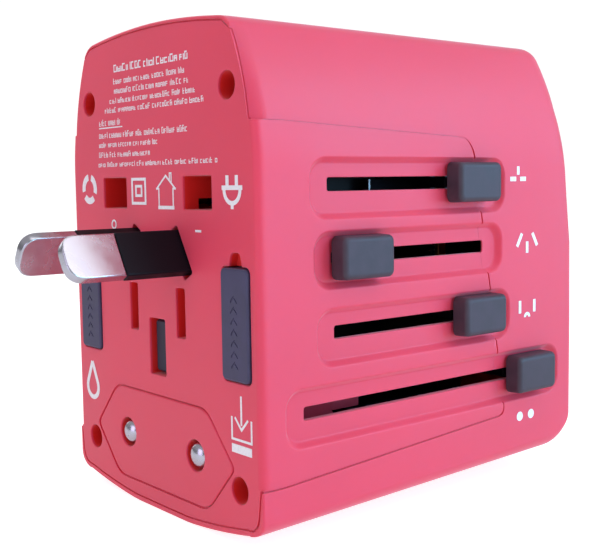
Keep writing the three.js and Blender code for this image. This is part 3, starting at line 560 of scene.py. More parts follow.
CORAL_COLOUR = (0.78, 0.045, 0.1)
SATIN = (0.44, 0.54), 5.0, 0.014, 0.03, 0.3  # roughness, grain, its depth, unevenness and sheen of the shells
SATIN_GLOW = 0.35
PAINTED_GLOW_CORAL = (0.8, 0.018, 0.016)  # painted glow: a deeper red painted where light would come through the plastic
SLATE = (0.42, 0.56), 4.0, 0.016  # roughness, grain and its depth of the dark mouldings
LOOK = {
    "coral_shell": moulded("coral_soft_touch", CORAL_COLOUR, *SATIN, glow=SATIN_GLOW),
    "slate_plastic": moulded("slate_satin", (0.055, 0.036, 0.052), *SLATE, 0.16, level=0.35, cloud=0.4),
    "black_plastic": moulded("black_satin", (0.003, 0.0025, 0.006), (0.4, 0.5), 5.0, 0.01, 0.1, level=0.2),
    "ivory_plastic": moulded("ivory_moulding", (0.72, 0.69, 0.6), (0.4, 0.5), 5.0, 0.01, 0.03),
    "ceramic": moulded("glazed_ceramic", (0.78, 0.77, 0.73), (0.15, 0.25), 3.0, 0.006, 0.02),
    "nickel": metal("nickel_plate", (0.52, 0.51, 0.58), (0.2, 0.3)),
    "brass": metal("rolled_brass", (0.4, 0.25, 0.08), (0.3, 0.45)),
    "steel": metal("zinc_steel", (0.55, 0.56, 0.58), (0.16, 0.28)),
    "circuit_board": circuit_board("solder_mask"),
    "ferrite": moulded("ferrite_core", (0.045, 0.04, 0.038), (0.6, 0.75), 3.0, 0.03, 0.15),
    "capacitor_can": moulded("shrink_sleeve", (0.02, 0.045, 0.2), (0.2, 0.3), 3.0, 0.008, 0.06),
}
# Where a deeper red is painted as a glow of light come through the plastic: in the front shell behind its face,
# and in the block round its pins.
PAINTED_GLOW_BEHIND_FACE = {"X": (0.0, 22.7), "Y": (10.4, 10.0)}
PAINTED_GLOW_ROUND_PINS = {"X": (0.0, 11.6), "Y": (2.2, 1.9), "Z": (EU_Z, 2.4)}
FACE_PAINTED_GLOW_LOOK = moulded("coral_face_painted_glow", CORAL_COLOUR, *SATIN, PAINTED_GLOW_BEHIND_FACE, glow=SATIN_GLOW)
BLOCK_PAINTED_GLOW_LOOK = moulded("coral_block_painted_glow", CORAL_COLOUR, *SATIN, PAINTED_GLOW_ROUND_PINS, glow=SATIN_GLOW)
PAD_LOOK = moulded("drawer_slate", (0.058, 0.05, 0.105), *SLATE, 0.14, level=0.35, cloud=0.4)
# Painted shade: the detent leaf is coloured near black for the shadow in its slot.
SHADE_DARK_STEEL = metal("painted_shade_steel", (0.012, 0.012, 0.016), (0.5, 0.6))
# Painted shade: a darker copy of the slate for the earth pin, for the shadow inside its hole.
PIN_SHADE_SLATE = moulded("earth_pin_painted_shade", (0.028, 0.029, 0.05), *SLATE, 0.08, level=0.3)
# Painted shade: the contact block is coloured near black, for the shade in its slot, instead of its ivory.
SHADE_DARK_MOULDING = moulded("painted_shade_moulding", (0.03, 0.028, 0.026), (0.5, 0.6), 5.0, 0.01, 0.05, level=0.2)
PRINT = ink("white_print", (0.9, 0.86, 0.87))


# ---- the case

def case_form():
    front = [0.0, 0.02, 0.06, 0.12, 0.2, 0.3, 0.45, 0.65, 0.9, 1.2, 1.55, 1.9, 2.2, 2.6, 3.0]
    rear = [DEPTH - REAR_ROUND_BELOW * (1 - s) for _, s in quarter(16)]
    return loft("case", [case_ring(y) for y in [*front, 15.0, 30.0, 45.0, *rear]])


def case_hollow():
    rings = []
    for y in (PLATE, 60.0, DEPTH - REAR_WALL):
        right = [(x, top_z(x) - WALL) for x in spread(0, 16.5, 6)]
        right += [(side_x(z) - WALL, z) for z in spread(18.5, SHOULDER, 8)]
        right += [(HALF_WIDTH - WALL, -40 + BOTTOM_RISE * y)]
        right += [(x, bottom_z(x, y) + WALL) for x in spread(19.5, 0, 6)]
        ring = [(x, y, z) for x, z in right]
        rings.append(ring + [(-x, y, z) for x, y, z in ring[-2:0:-1]])
    return loft("hollow", rings)


def plate_outline(grow):
    """The edge of the plug face, which meets the side tongues at half height."""
    right = [(x, top_z(x) - RIM_ABOVE + grow) for x in spread(0, 17.6, 8)]
    right += [(side_x(z) - chamfer(z) + grow * 0.5, z) for z in spread(20.6, SEAM_TOP + grow, 8)]
    right += [(30, SEAM_TOP + grow), (30, SEAM_BOTTOM - grow)]
    right += [(HALF_WIDTH - RIM_SIDE + grow, SEAM_BOTTOM - grow)]
    foot = [(x, bottom_z(x, 0) + RIM_BELOW - grow) for x in spread(21.2, 0, 10)]
    corner = ((23.7 + grow, -41.5 - grow), (23.3 + grow, -43.9 - grow), foot[0])
    right += [corner[0], *bezier(*corner, 6), *foot]
    return right + [(-x, z) for x, z in right[-2:0:-1]]


def tongue_outline(grow):
    """The side tongue of the front shell, level at first and then running back to two rounded corners."""
    (upper_y, upper_z), (lower_y, lower_z) = TONGUE_UPPER_END, TONGUE_LOWER_END
    side = [
        (-2, SEAM_TOP + grow),
        (TONGUE_LEVEL_TO, SEAM_TOP + grow),
        (upper_y + grow, upper_z + grow),
        (lower_y + grow, lower_z - grow),
        (TONGUE_LEVEL_TO, SEAM_BOTTOM - grow),
        (-2, SEAM_BOTTOM - grow),
    ]
    return rounded(side, [0, 0, 3 + grow, 1.5 + grow, 0, 0], 8)


def front_region(grow):
    plate = prism("plate_region", "y", plate_outline(grow), -2, PLATE + grow)
    tongues = [prism("tongue_region", "x", tongue_outline(grow), *ends) for ends in ((21, 30), (-30, -21))]
    return join(plate, *tongues)


def slider_cutters(slider):
    """The shallow pocket round a slot, and the slot itself."""
    z, rest, travel, height, drop = slider
    front, rear = rest - travel - SLOT_REACH, rest + SLOT_REACH
    middle = (front - POCKET_AHEAD + rear + POCKET_BEHIND) / 2
    length = rear - front + POCKET_AHEAD + POCKET_BEHIND

    outline = growing_rect(length, height, POCKET_ROUND, (middle, z - drop), 0, 8, 0.6)
    steps = [(HALF_WIDTH + 2, 0.0)]
    for s in spread(0, 1, 9):
        steps.append((HALF_WIDTH - POCKET_DEPTH * (3 * s * s - 2 * s ** 3), -POCKET_SLOPE * s))
    pocket = profile_loft("pocket", "x", outline, steps)

    floor, rim, inside = HALF_WIDTH - POCKET_DEPTH, 0.12, 20.0

    def slot_ring(x, grow, relief):
        size = (rear - front + relief + 2 * grow, SLOT_HEIGHT + 2 * grow)
        outline = rounded_rect(*size, SLOT_ROUND + grow, ((front + rear + relief) / 2, z), 0, 4)
        return [(x, a, b) for a, b in outline]

    # The rear end of a slot leans away behind the surface, so that the stem slides over a thin lip.
    rings = [slot_ring(30, rim, 0)]
    rings += [slot_ring(floor - rim * (1 - c), rim * (1 - s), 0) for c, s in quarter(4)]
    rings.append(slot_ring(inside, 0, 0.95 * (floor - inside)))
    return pocket, loft("slot", rings)


def hole_outlines():
    """Each pin hole in the face, as a function of how much it grows."""
    places = [(0, EARTH_Z, EARTH_WIDTH + 0.3, EARTH_HEIGHT + 0.3, 0)]
    for _, side in SIDES:
        places.append((side * UK_X, 0, UK_WIDTH + 0.6, UK_HEIGHT + 0.6, 0))
        places.append((side * US_X, US_Z, US_THICK + 0.7, US_WIDTH + 0.7, 0))
        places.append((side * AU_X, AU_Z, AU_SLEEVE_THICK + 0.5, AU_SLEEVE_WIDTH + 1.0, side * AU_TILT))
    return [growing_rect(width, height, 0.35, (x, z), tilt, 5) for x, z, width, height, tilt in places]


def pad_cutters(side):
    """The opening for a fuse drawer, and the notch for a finger nail above it."""
    x, top = side * PAD_X, PAD_Z + PAD_HEIGHT / 2
    opening = growing_rect(PAD_WIDTH + 0.4, PAD_HEIGHT + 0.4, 0.9, (x, PAD_Z))

    def notch(grow):
        corners = [(x - 1.7 - grow, top - 1), (x + 1.7 + grow, top - 1), (x + 1 + grow, top + 2 + grow),
                   (x - 1 - grow, top + 2 + grow)]
        return rounded(corners, [0.1, 0.1, 0.7, 0.7], 5)

    return (profile_loft("pad_opening", "y", opening, mouth_steps(PLATE + 1)),
            profile_loft("nail_notch", "y", notch, mouth_steps(1.3)))


def case_blank():
    blank = cut(case_form(), case_hollow())
    for slider in SLIDERS.values():
        cut(blank, *slider_cutters(slider))
    return blank


def copy_of(obj, name):
    twin = obj.copy()
    twin.data = obj.data.copy()
    twin.name = name
    bpy.context.scene.collection.objects.link(twin)
    return twin


def front_shell(blank):
    shell = boolean(copy_of(blank, "front_case"), "INTERSECT", front_region(0.0))
    for outline in hole_outlines():
        join(shell, prism("guide", "y", outline(GUIDE_WALL), 2, GUIDE_DEPTH))
    for x, z in SCREWS:
        join(shell, prism("boss", "y", circle(SCREW_BOSS, (x, z)), 2, SCREW_DEPTH))
    for outline in hole_outlines():
        cut(shell, profile_loft("pin_hole", "y", outline, mouth_steps(12)))
    for x, z in SCREWS:
        wall = lambda grow: circle(SCREW_HOLE + grow, (x, z))
        well = profile_loft("well", "y", wall, mouth_steps(SCREW_SEAT))
        cut(shell, well, prism("shank_hole", "y", circle(SCREW_SHANK, (x, z), 24), 1, SCREW_DEPTH + 1))
    for _, side in SIDES:
        cut(shell, *pad_cutters(side))
    cut(shell, box("relief", 6.4, 7.8, PLATE + 0.2, GUIDE_DEPTH + 0.1, -2.4, -0.8))
    groove = prism("hex_groove", "y", hex_outline(SEAM_GROOVE), -1, GROOVE_DEPTH)
    return cut(shell, prism("hex_opening", "y", hex_outline(0.06), -1, 12), groove)


def rear_shell(blank):
    shell = cut(copy_of(blank, "rear_case"), front_region(SEAM_GAP))
    edge = HALF_WIDTH - GROOVE_DEPTH
    for skin in ((-30, 30, -2, GROOVE_DEPTH), (edge, 30, -2, DEPTH), (-30, -edge, -2, DEPTH)):
        cut(shell, boolean(front_region(SEAM_GROOVE), "INTERSECT", box("skin", *skin, -60, 60)))
    start = SCREW_DEPTH + 0.3
    for x, z in SCREWS:
        cut(shell, prism("room", "y", circle(SCREW_BOSS + 0.3, (x, z)), -1, start))
        join(shell, prism("pillar", "y", circle(SCREW_BOSS, (x, z)), start, DEPTH - 1))
        cut(shell, prism("pilot", "y", circle(SCREW_SHANK, (x, z), 24), start - 1, start + 12))
    for _, side in SIDES:
        x = side * RAIL_X
        join(shell, box("rail", x - 2.6, x + 2.6, RAIL_START, RAIL_END, 4.2, 5.6))

    middle, height = (SOCKET_TOP + SOCKET_BOTTOM) / 2, SOCKET_TOP - SOCKET_BOTTOM
    opening = growing_rect(2 * SOCKET_HALF + 0.5, height + 0.5, 3, (0, middle), 0, 10)
    cut(shell, profile_loft("socket_opening", "y", opening, rear_mouth_steps(DEPTH, DEPTH - 5, REAR_FILLET)))
    for x in USB_PLACES:
        port = growing_rect(USB_WIDTH + 0.6, USB_HEIGHT + 0.6, 0.5, (x, USB_Z + USB_HEIGHT / 2))
        cut(shell, profile_loft("usb_opening", "y", port, rear_mouth_steps(DEPTH, DEPTH - 5, PORT_FILLET)))
    return shell


def make_case():
    blank = case_blank()
    finish_piece(front_shell(blank), "housing", FACE_PAINTED_GLOW_LOOK, ["front_shell"])
    finish_piece(rear_shell(blank), "housing", LOOK["coral_shell"], ["rear_shell"])
    bpy.data.objects.remove(blank)


# ---- what slides out of the face

def make_hex_block():
    block = profile_loft("plug_block", "y", hex_outline, edge_steps(0.0, HEX_DEPTH, 0.25))
    for _, side in SIDES:
        x = side * 6.5
        join(block, box("lug", x - 2.5, x + 2.5, HEX_DEPTH - 1.9, HEX_DEPTH, -30.3, -28.3))
    window = box("window", 13.4, 20, 20.5, HEX_DEPTH + 1, -35.4, -28)
    cut(block, prism("hollow", "y", hex_outline(-HEX_WALL), 2.5, HEX_DEPTH + 1), window)
    for _, side in SIDES:
        centre = (side * EU_X, EU_Z)
        wall = lambda grow: circle(EU_HOLE + grow, centre)
        cut(block, profile_loft("hole", "y", wall, mouth_steps(4, 0.2)))
    finish_piece(block, "eu_block", BLOCK_PAINTED_GLOW_LOOK, ["eu_hex_block"])


def node_middle(node):
    low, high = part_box(node)
    return [(a + b) / 2 / MM for a, b in zip(low, high)]


def make_knob(name, body):
    """A thumb knob with eased edges and a stem that goes through the slot."""
    _, y, z = node_middle(name)
    inner, outer, crown = HALF_WIDTH - POCKET_DEPTH + 0.4, HALF_WIDTH + KNOB_PROUD, 0.75
    outline = growing_rect(KNOB_LENGTH, KNOB_HEIGHT, KNOB_ROUND, (y, z), 0, 8, 0.5)
    steps = [(inner, -0.12), (inner + 0.12, 0.0), (outer - crown - 1.2, 0.0), (outer - crown, -0.05)]
    steps += [(outer - crown + crown * s, crown * (c - 1) - 0.05) for c, s in quarter(8)[1:]]
    knob = profile_loft(name + "_grip", "x", outline, steps)
    join(knob, box("stem", 22.6, inner + 0.5, y - 2.6, y + 2.6, z - 0.65, z + 0.65))
    finish_piece(knob, body, LOOK["slate_plastic"], [name])


def blade_outline(width, tip, end):
    w = width / 2
    return rounded([(tip, -w), (end, -w), (end, w), (tip, w)], [w * 0.8, 0, 0, w * 0.8], 12)


def make_blade(name, body, place, tilt, width, thick, tip, full_to):
    """A flat blade with eased edges, a round-cornered tip and a thinner root."""
    def outline(shrink):
        return [(y, z) for y, z in blade_outline(width - 2 * shrink, tip + shrink, full_to - shrink)]

    half, ease = thick / 2, 0.22
    curve = [(half - ease * (1 - s), ease * (1 - c)) for c, s in quarter(5)]
    steps = [(-x, s) for x, s in reversed(curve)] + curve
    blade = profile_loft(name + "_metal", "x", outline, steps)
    t = half - 0.4
    join(blade, box("root", -t, t, full_to - 0.5, PIN_ROOT, 0.7 - width / 2, width / 2 - 0.7))
    blade.data.transform(Matrix.Rotation(tilt, 4, "Y"))
    blade.data.transform(Matrix.Translation(place))
    finish_piece(blade, body, LOOK["nickel"], [name], 30)


def make_sleeve(name, body, place, tilt, width, height, wall_x, wall_z, start, end):
    """An insulating sleeve with a rectangular bore round the core of a pin or blade."""
    outline, ease = growing_rect(width, height, 0.3, count=5, rate=0.5), 0.12
    tube = profile_loft(name + "_tube", "y", outline, [(start, -ease), (start + ease, 0.0), (end, 0.0)])
    a, b = width / 2 - wall_x + 0.1, height / 2 - wall_z + 0.1
    cut(tube, box("bore", -a, a, start - 1, end + 1, -b, b))
    tube.data.transform(Matrix.Rotation(tilt, 4, "Y"))
    tube.data.transform(Matrix.Translation(place))
    finish_piece(tube, body, LOOK["black_plastic"], [name])


def make_bar_pin(name, place, width, height, tip, full_to, slot, taper):
    """A rectangular pin of the British set, with a chamfered nose."""
    outline = growing_rect(width, height, 0.45, count=5, rate=0.3)
    nose = [(tip, -taper), (tip + 0.1, 0.12 - taper), (tip + 1.6 * taper, -0.05), (tip + 2 * taper, 0.0)]
    pin = profile_loft(name + "_bar", "y", outline, [*nose, (full_to, 0.0)])
    a, b = width / 2 - 1, height / 2 - 1
    join(pin, box("core", -a, a, full_to - 0.5, PIN_ROOT, -b, b))
    pin.data.transform(Matrix.Translation(place))
    # the earth pin takes the darker slate, which is painted shade
    look = PIN_SHADE_SLATE if slot == "slate_plastic" else LOOK[slot]
    finish_piece(pin, "uk_slider", look, [name], 30)


def make_round_pin(name, place):
    nose = [(EU_RADIUS * s, EU_TIP + EU_NOSE * (1 - c)) for c, s in quarter(10)]
    profile = [*nose, (EU_RADIUS, EU_FULL_TO), (EU_CORE, EU_FULL_TO), (EU_CORE, EU_ROOT), (0.0, EU_ROOT)]
    pin = turned(name + "_rod", profile, place)
    finish_piece(pin, "eu_pins", LOOK["nickel"], [name], 30)


def rest_shift(body_joint):
    """How far out a set still has to slide from rest, so that its pins are drawn where they lie."""
    ranges = {joint["name"]: joint["range_m"] for joint in frame["joints"]}
    return ranges[body_joint][1] / MM


def make_leaf():
    """The spring leaf that clicks the uppermost slider into place, painted near black as shade but for its bare
    steel front lip.
    """
    low, high = (Vector(corner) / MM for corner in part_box("uk_detent_leaf"))
    strip = box("detent_leaf", low.x, high.x, low.y + 0.4, high.y, low.z, high.z)
    finish_piece(strip, "uk_slider", SHADE_DARK_STEEL, ["uk_detent_leaf"])
    outline = [(low.x, low.y), (high.x, low.y), (high.x, low.y + 0.32), (low.x, low.y + 0.5)]
    lip = prism("detent_lip", "z", outline, low.z, high.z)
    finish_piece(lip, "uk_slider", LOOK["steel"])


def make_pin_sets():
    uk_size, au_size = (UK_WIDTH, UK_HEIGHT), (AU_WIDTH, AU_THICK)
    british = rest_shift("uk_slide")
    for name, side in SIDES:
        place = (side * UK_X, british, 0)
        make_bar_pin(f"uk_{name}_pin", place, *uk_size, UK_TIP, UK_FULL_TO, "brass", 0.8)
        ends = (UK_FULL_TO + SLEEVE_GAP, GUIDE_DEPTH)
        make_sleeve(f"uk_{name}_sleeve", "uk_slider", place, 0, *uk_size, 0.9, 0.9, *ends)
    earth_size, place = (EARTH_WIDTH, EARTH_HEIGHT), (0, british, EARTH_Z)
    make_bar_pin("uk_earth_pin", place, *earth_size, EARTH_TIP, GUIDE_DEPTH, "slate_plastic", 0.45)
    for name, side in SIDES:
        place, tilt = (side * AU_X, 0, AU_Z), -side * AU_TILT
        make_blade(f"au_{name}_blade", "au_slider", place, tilt, *au_size, AU_TIP, AU_FULL_TO)
        size, ends = (AU_SLEEVE_THICK, AU_SLEEVE_WIDTH), (AU_FULL_TO + SLEEVE_GAP, GUIDE_DEPTH)
        make_sleeve(f"au_{name}_sleeve", "au_slider", place, tilt, *size, 0.4, 0.7, *ends)
        place = (side * US_X, rest_shift("us_slide"), US_Z)
        make_blade(f"us_{name}_blade", "us_slider", place, 0, US_WIDTH, US_THICK, US_TIP, GUIDE_DEPTH)
        make_round_pin(f"eu_{name}_pin", (side * EU_X, EU_Z))


def make_pad(node, body, side):
    """A fuse drawer: a satin cover with a column of shallow arrows, and the tray behind it."""
    x = side * PAD_X
    outline = growing_rect(PAD_WIDTH, PAD_HEIGHT, 0.8, (x, PAD_Z), 0, 8)
    pad = profile_loft(node + "_cover", "y", outline, edge_steps(-PAD_PROUD, 2.2, 0.3))
    join(pad, box("tray", x - 2.3, x + 2.3, 1.5, 8.2, PAD_Z - 6.8, PAD_Z + 6.8))
    inside = sorted((x - side * 1.95, x + side * 4))
    cut(pad, box("cradle", *inside, 3.2, 7.2, PAD_Z - 5.2, PAD_Z + 5.2))
    shape = ((-0.7, 0.0), (0.0, 0.7), (0.7, 0.0), (0.7, -0.35), (0.0, 0.35), (-0.7, -0.35))
    for step in spread(-5.4, 3.2, 7):
        arrow = [(x + across, PAD_Z + step + up) for across, up in shape]
        cut(pad, prism("mark", "y", arrow, -1, 0.08 - PAD_PROUD))
    finish_piece(pad, body, PAD_LOOK, [node])


# ---- the rear

def make_socket_plate():
    """The rear plate with its flange, the seat of the shutter spring and the shaped holes."""
    middle, height, ease = (SOCKET_TOP + SOCKET_BOTTOM) / 2, SOCKET_TOP - SOCKET_BOTTOM, 0.35
    outline = growing_rect(2 * SOCKET_HALF, height, 3, (0, middle), 0, 10)
    curve = [(SOCKET_FACE - ease * (1 - s), ease * (c - 1)) for c, s in quarter(5)]
    plate = profile_loft("outlet_plate", "y", outline, [(SOCKET_BACK, 0.0), *curve])
    flange = rounded_rect(2 * SOCKET_HALF + 2.6, height + 1.8, 3, (0, middle))
    join(plate, prism("flange", "y", flange, SOCKET_BACK, DEPTH - REAR_WALL - 0.3))
    join(plate, box("seat", -2, 2, 56.8, SOCKET_BACK + 0.5, -7.3, -6.2))

    holes = [growing_rect(4.8, 8.8, 0.4, (0, OUTLET_EARTH))]
    for _, side in SIDES:
        holes.append(growing_rect(7.4, 4.7, 0.4, (side * UK_X, OUTLET_Z)))
        holes.append(growing_rect(2.4, 8.2, 0.4, (side * US_X, OUTLET_Z)))
        holes.append(growing_rect(2.3, 8.6, 0.4, (side * OUTLET_SLANT_X, OUTLET_Z), side * AU_TILT))
        holes.append(lambda grow, side=side: circle(2.7 + grow, (side * OUTLET_ROUND_X, OUTLET_Z)))
    mouth = rear_mouth_steps(SOCKET_FACE, SOCKET_BACK - 1, 0.3)
    for hole in holes:
        cut(plate, profile_loft("outlet_hole", "y", hole, mouth))
    finish_piece(plate, "housing", LOOK["slate_plastic"], ["socket_plate"])


def make_usb_port(number, x):
    """A folded steel can with a plastic tongue that carries the contact strips."""
    z = node_middle(f"usb_port_{number}")[2]
    outline = growing_rect(USB_WIDTH, USB_HEIGHT, 0.5, (x, z), rate=0.5)
    tongue_section = growing_rect(1.9, 11.0, 0.2, (x - 0.95, z), rate=0.0)
    can_steps = [(USB_BACK, 0.0), (USB_MOUTH - 0.1, 0.0), (USB_MOUTH, -0.1)]
    can = profile_loft(f"usb_{number}_can", "y", outline, can_steps)
    bore_steps = [(USB_MOUTH - 12, -0.3), (USB_MOUTH - 0.3, -0.3), (USB_MOUTH + 0.1, 0.05)]
    cut(can, profile_loft("bore", "y", outline, bore_steps))
    finish_piece(can, "housing", LOOK["nickel"], [f"usb_port_{number}"])
    tongue_steps = [(USB_MOUTH - 12.2, 0.0), (USB_MOUTH - 1.0, 0.0), (USB_MOUTH - 0.8, -0.15)]
    tongue = profile_loft(f"usb_{number}_tongue", "y", tongue_section, tongue_steps)
    finish_piece(tongue, "housing", LOOK["ivory_plastic"])
    for i, step in enumerate((-3.5, -1.0, 1.0, 3.5)):
        ends = (USB_MOUTH - 11, USB_MOUTH - 1.6)
        strip = box(f"usb_{number}_strip_{i + 1}", x, x + 0.12, *ends, z + step - 0.5, z + step + 0.5)
        finish_piece(strip, "housing", LOOK["brass"])


# ---- white print

PRINT_LOW, PRINT_HIGH = 0.005, 0.03  # the film of ink stands this far off the surface, mm


def print_marks(name, axis, outlines, at):
    """Thin white marks on a flat face, each an outline in the two other axes."""
    verts, faces = [], []
    for number, outline in enumerate(outlines):
        high = PRINT_HIGH + number % 7 * 0.002
        ends = sorted(at + math.copysign(step, at - 1) for step in (PRINT_LOW, high))
        start, count = len(verts), len(outline)
        verts += [PLACE[axis](a, b, t) for t in ends for a, b in outline]
        faces.append(tuple(range(start + count - 1, start - 1, -1)))
        faces.append(tuple(range(start + count, start + 2 * count)))
        for i in range(count):
            a, b = start + i, start + (i + 1) % count
            faces.append((a, b, b + count, a + count))
    finish_piece(closed_mesh(name, verts, faces), "housing", PRINT)


def bar(start, end, width):
    """A straight stroke from one point to another."""
    a, b = Vector(start), Vector(end)
    side = (b - a).normalized().orthogonal() * width / 2
    return [tuple(a - side), tuple(b - side), tuple(b + side), tuple(a + side)]


def strokes(points, width, closed=False):
    """A line of straight strokes that overlap at their corners."""
    pairs = list(zip(points, points[1:] + points[:1] if closed else points[1:]))
    out = []
    for a, b in pairs:
        a, b = Vector(a), Vector(b)
        reach = (b - a).normalized() * width / 2
        out.append(bar(a - reach, b + reach, width))
    return out


def arc(centre, radius, width, start, end, count=24):
    """A curved stroke, with its angles in degrees."""
    turns = [(math.cos(a), math.sin(a)) for a in map(math.radians, spread(start, end, count))]
    edges = (radius + width / 2, radius - width / 2)
    outside, inside = ([(centre[0] + r * c, centre[1] + r * s) for c, s in turns] for r in edges)
    return outside + inside[::-1]


def slab(x0, x1, z0, z1):
    return [(x0, z0), (x1, z0), (x1, z1), (x0, z1)]


def dummy_row(rng, x0, x1, z0, z1, weight=1.0):
    """A row of small upright shapes in groups, which stands for a line of small print."""
    out, x, left = [], x0, rng.randint(3, 8)
    pen, height = 0.12 * weight, z1 - z0
    while x < x1 - 0.5:
        width = rng.choice((0.0, 0.34, 0.4, 0.46)) * weight
        top = z0 + height * rng.choice((0.72, 0.72, 0.78, 1.0))
        out.append(slab(x, x + pen, z0, top))
        if width:
            for level in rng.sample((z0, (z0 + top - pen) / 2, top - pen), 2):
                out.append(slab(x + pen, x + width, level, level + pen))
            if rng.random() < 0.5:
                out.append(slab(x + width, x + width + pen, z0, z0 + height * 0.72))
        x += width + pen + 0.17
        left -= 1
        if left == 0:
            x += 0.4
            left = rng.randint(3, 8)
    return out


def make_face_print():
    rng = random.Random(11)
    rows = [  # left and right end, foot and top of each line of small print, and how heavy it is
        (-10.3, 9.8, 17.9, 19.0, 1.6), (-10.5, 8.8, 16.15, 17.0), (-10.4, 10.4, 14.75, 15.6),
        (-11.8, 11.7, 13.35, 14.15), (-13.35, 13.65, 12.0, 12.8), (-15.25, -8.3, 10.15, 11.15),
        (-15.4, 9.2, 8.3, 9.2), (-15.5, 1.65, 6.9, 7.7), (-15.6, 0.2, 5.4, 6.2), (-15.85, 16.3, 3.95, 4.7),
    ]
    marks = [tick for row in rows for tick in dummy_row(rng, *row)]
    marks.append(slab(-15.3, -8.25, 9.75, 9.92))

    # three arcs in a ring, nested squares, a house, and a plug
    marks += [arc((-19.05, 0.6), 1.85, 1.0, start, start + 92, 10) for start in (100, 220, 340)]
    marks += strokes([(-5.85, -1.5), (-2.15, -1.5), (-2.15, 2.0), (-5.85, 2.0)], 0.42, True)
    marks += strokes([(-4.8, -0.38), (-3.2, -0.38), (-3.2, 0.98), (-4.8, 0.98)], 0.4, True)
    marks += strokes([(1.55, -2.05), (5.25, -2.05)], 0.5)
    house = [(1.55, -2.05), (1.55, 0.6), (1.0, 0.6), (3.42, 2.4), (5.85, 0.6), (5.25, 0.6), (5.25, -2.05)]
    marks += strokes(house, 0.26)
    marks += strokes([(4.4, 1.75), (4.4, 2.75), (4.85, 2.75), (4.85, 1.4)], 0.22)
    marks += [slab(17.9, 18.55, 0.9, 2.25), slab(19.95, 20.6, 0.9, 2.25), slab(17.0, 21.5, 0.35, 0.95)]
    marks += [arc((19.25, 0.4), 1.75, 0.6, 180, 360, 16), slab(18.95, 19.55, -2.1, -1.2)]

    # a small ring and a bar beside the two upper pin holes
    marks.append(arc((-11.6, -4.75), 0.62, 0.26, 0, 359.9, 20))
    marks.append(slab(10.6, 12.0, -5.3, -4.98))

    # a drop, and an arrow into a tray over a solid bar
    drop = (-20.0, -30.9)
    marks.append(arc(drop, 1.75, 0.75, 150, 390, 20))
    marks += [bar((-21.6, -30.2), (-20.0, -26.9), 0.75), bar((-18.4, -30.2), (-20.0, -26.9), 0.75)]
    marks += strokes([(18.2, -29.4), (18.2, -32.2), (22.5, -32.2), (22.5, -29.4)], 0.32)
    marks.append(slab(20.15, 20.5, -30.2, -26.3))
    marks += strokes([(19.0, -29.4), (20.33, -30.8), (21.65, -29.4)], 0.32)
    marks.append(slab(18.1, 22.5, -34.0, -32.85))
    print_marks("face_print", "y", marks, 0.0)


def make_side_print():
    """A small pattern of pins beside each slot, which says what the slot is for."""
    marks = [slab(48.8, 50.2, 0.9, 1.6), slab(51.2, 52.6, 0.9, 1.6), slab(50.4, 51.0, 1.9, 3.2)]
    marks += [bar((50.5, -9.3), (51.7, -7.3), 0.6), bar((54.3, -7.3), (55.5, -9.3), 0.6)]
    marks += [slab(52.7, 53.3, -10.4, -8.6), slab(51.0, 51.6, -19.9, -17.9), slab(54.6, 55.2, -19.9, -17.9)]
    marks.append(arc((53.1, -20.6), 0.55, 0.5, 0, 180, 10))
    marks += [circle(0.75, (51.4, -36.4), 20), circle(0.75, (54.2, -36.4), 20)]
    print_marks("side_print", "x", marks, HALF_WIDTH)


# ---- stage, light and camera

def make_stage():
    """A pale floor that is brighter to the eye than in reflections, like the studio round it."""
    low = cad_box[0][2] / MM
    floor = box("floor", -2500, 2500, -2500, 2500, low - 20, low)
    floor.data.transform(Matrix.Scale(MM, 4))
    material, nodes, links, base = shader("pale_floor")
    cloud = noise_node(nodes, links, 0.004, 3.0)
    tint = ramp_node(nodes, links, cloud.outputs["Fac"], (0.5, 0.5, 0.5), (0.56, 0.56, 0.56))
    links.new(tint.outputs["Color"], base.inputs["Base Color"])
    set_inputs(base, Roughness=0.9, Specular_IOR_Level=0.2, Emission_Color=(1, 1, 1, 1))
    rays = nodes.new("ShaderNodeLightPath")
    level = set_inputs(nodes.new("ShaderNodeMapRange"), To_Min=0.45, To_Max=0.82)
    links.new(rays.outputs["Is Camera Ray"], level.inputs["Value"])
    links.new(level.outputs["Result"], base.inputs["Emission Strength"])
    floor.data.materials.append(material)


def area_light(name, place, target, size, power, colour=(1, 1, 1)):
    light = bpy.data.lights.new(name, "AREA")
    light.shape = "SQUARE"
    light.size = size
    light.energy = power
    light.color = colour
    obj = bpy.data.objects.new(name, light)
    obj.location = place
    obj.rotation_euler = (Vector(target) - Vector(place)).to_track_quat("-Z", "Y").to_euler()
    bpy.context.scene.collection.objects.link(obj)


def make_lights():
    """Large soft boxes above and at the sides."""
    target = (0, 0.03, -0.01)
    area_light("key", (0.6, 0.35, 0.6), target, 0.5, 1.4)
    area_light("sky_panel", (0.7, 0.6, 0.16), target, 0.8, 10.3, (0.28, 0.66, 1.0))
    area_light("edge_light", (0.9, 0.0, 0.15), target, 0.25, 1.9, (0.4, 0.85, 1.0))
    area_light("top", (0.1, 0.0, 0.9), target, 0.6, 1.8)
    area_light("front_fill", (0.1, -0.9, 0.25), target, 0.6, 1.85, (1.0, 0.9, 1.25))
    area_light("left_fill", (-0.8, 0.1, 0.35), target, 0.6, 1.6)


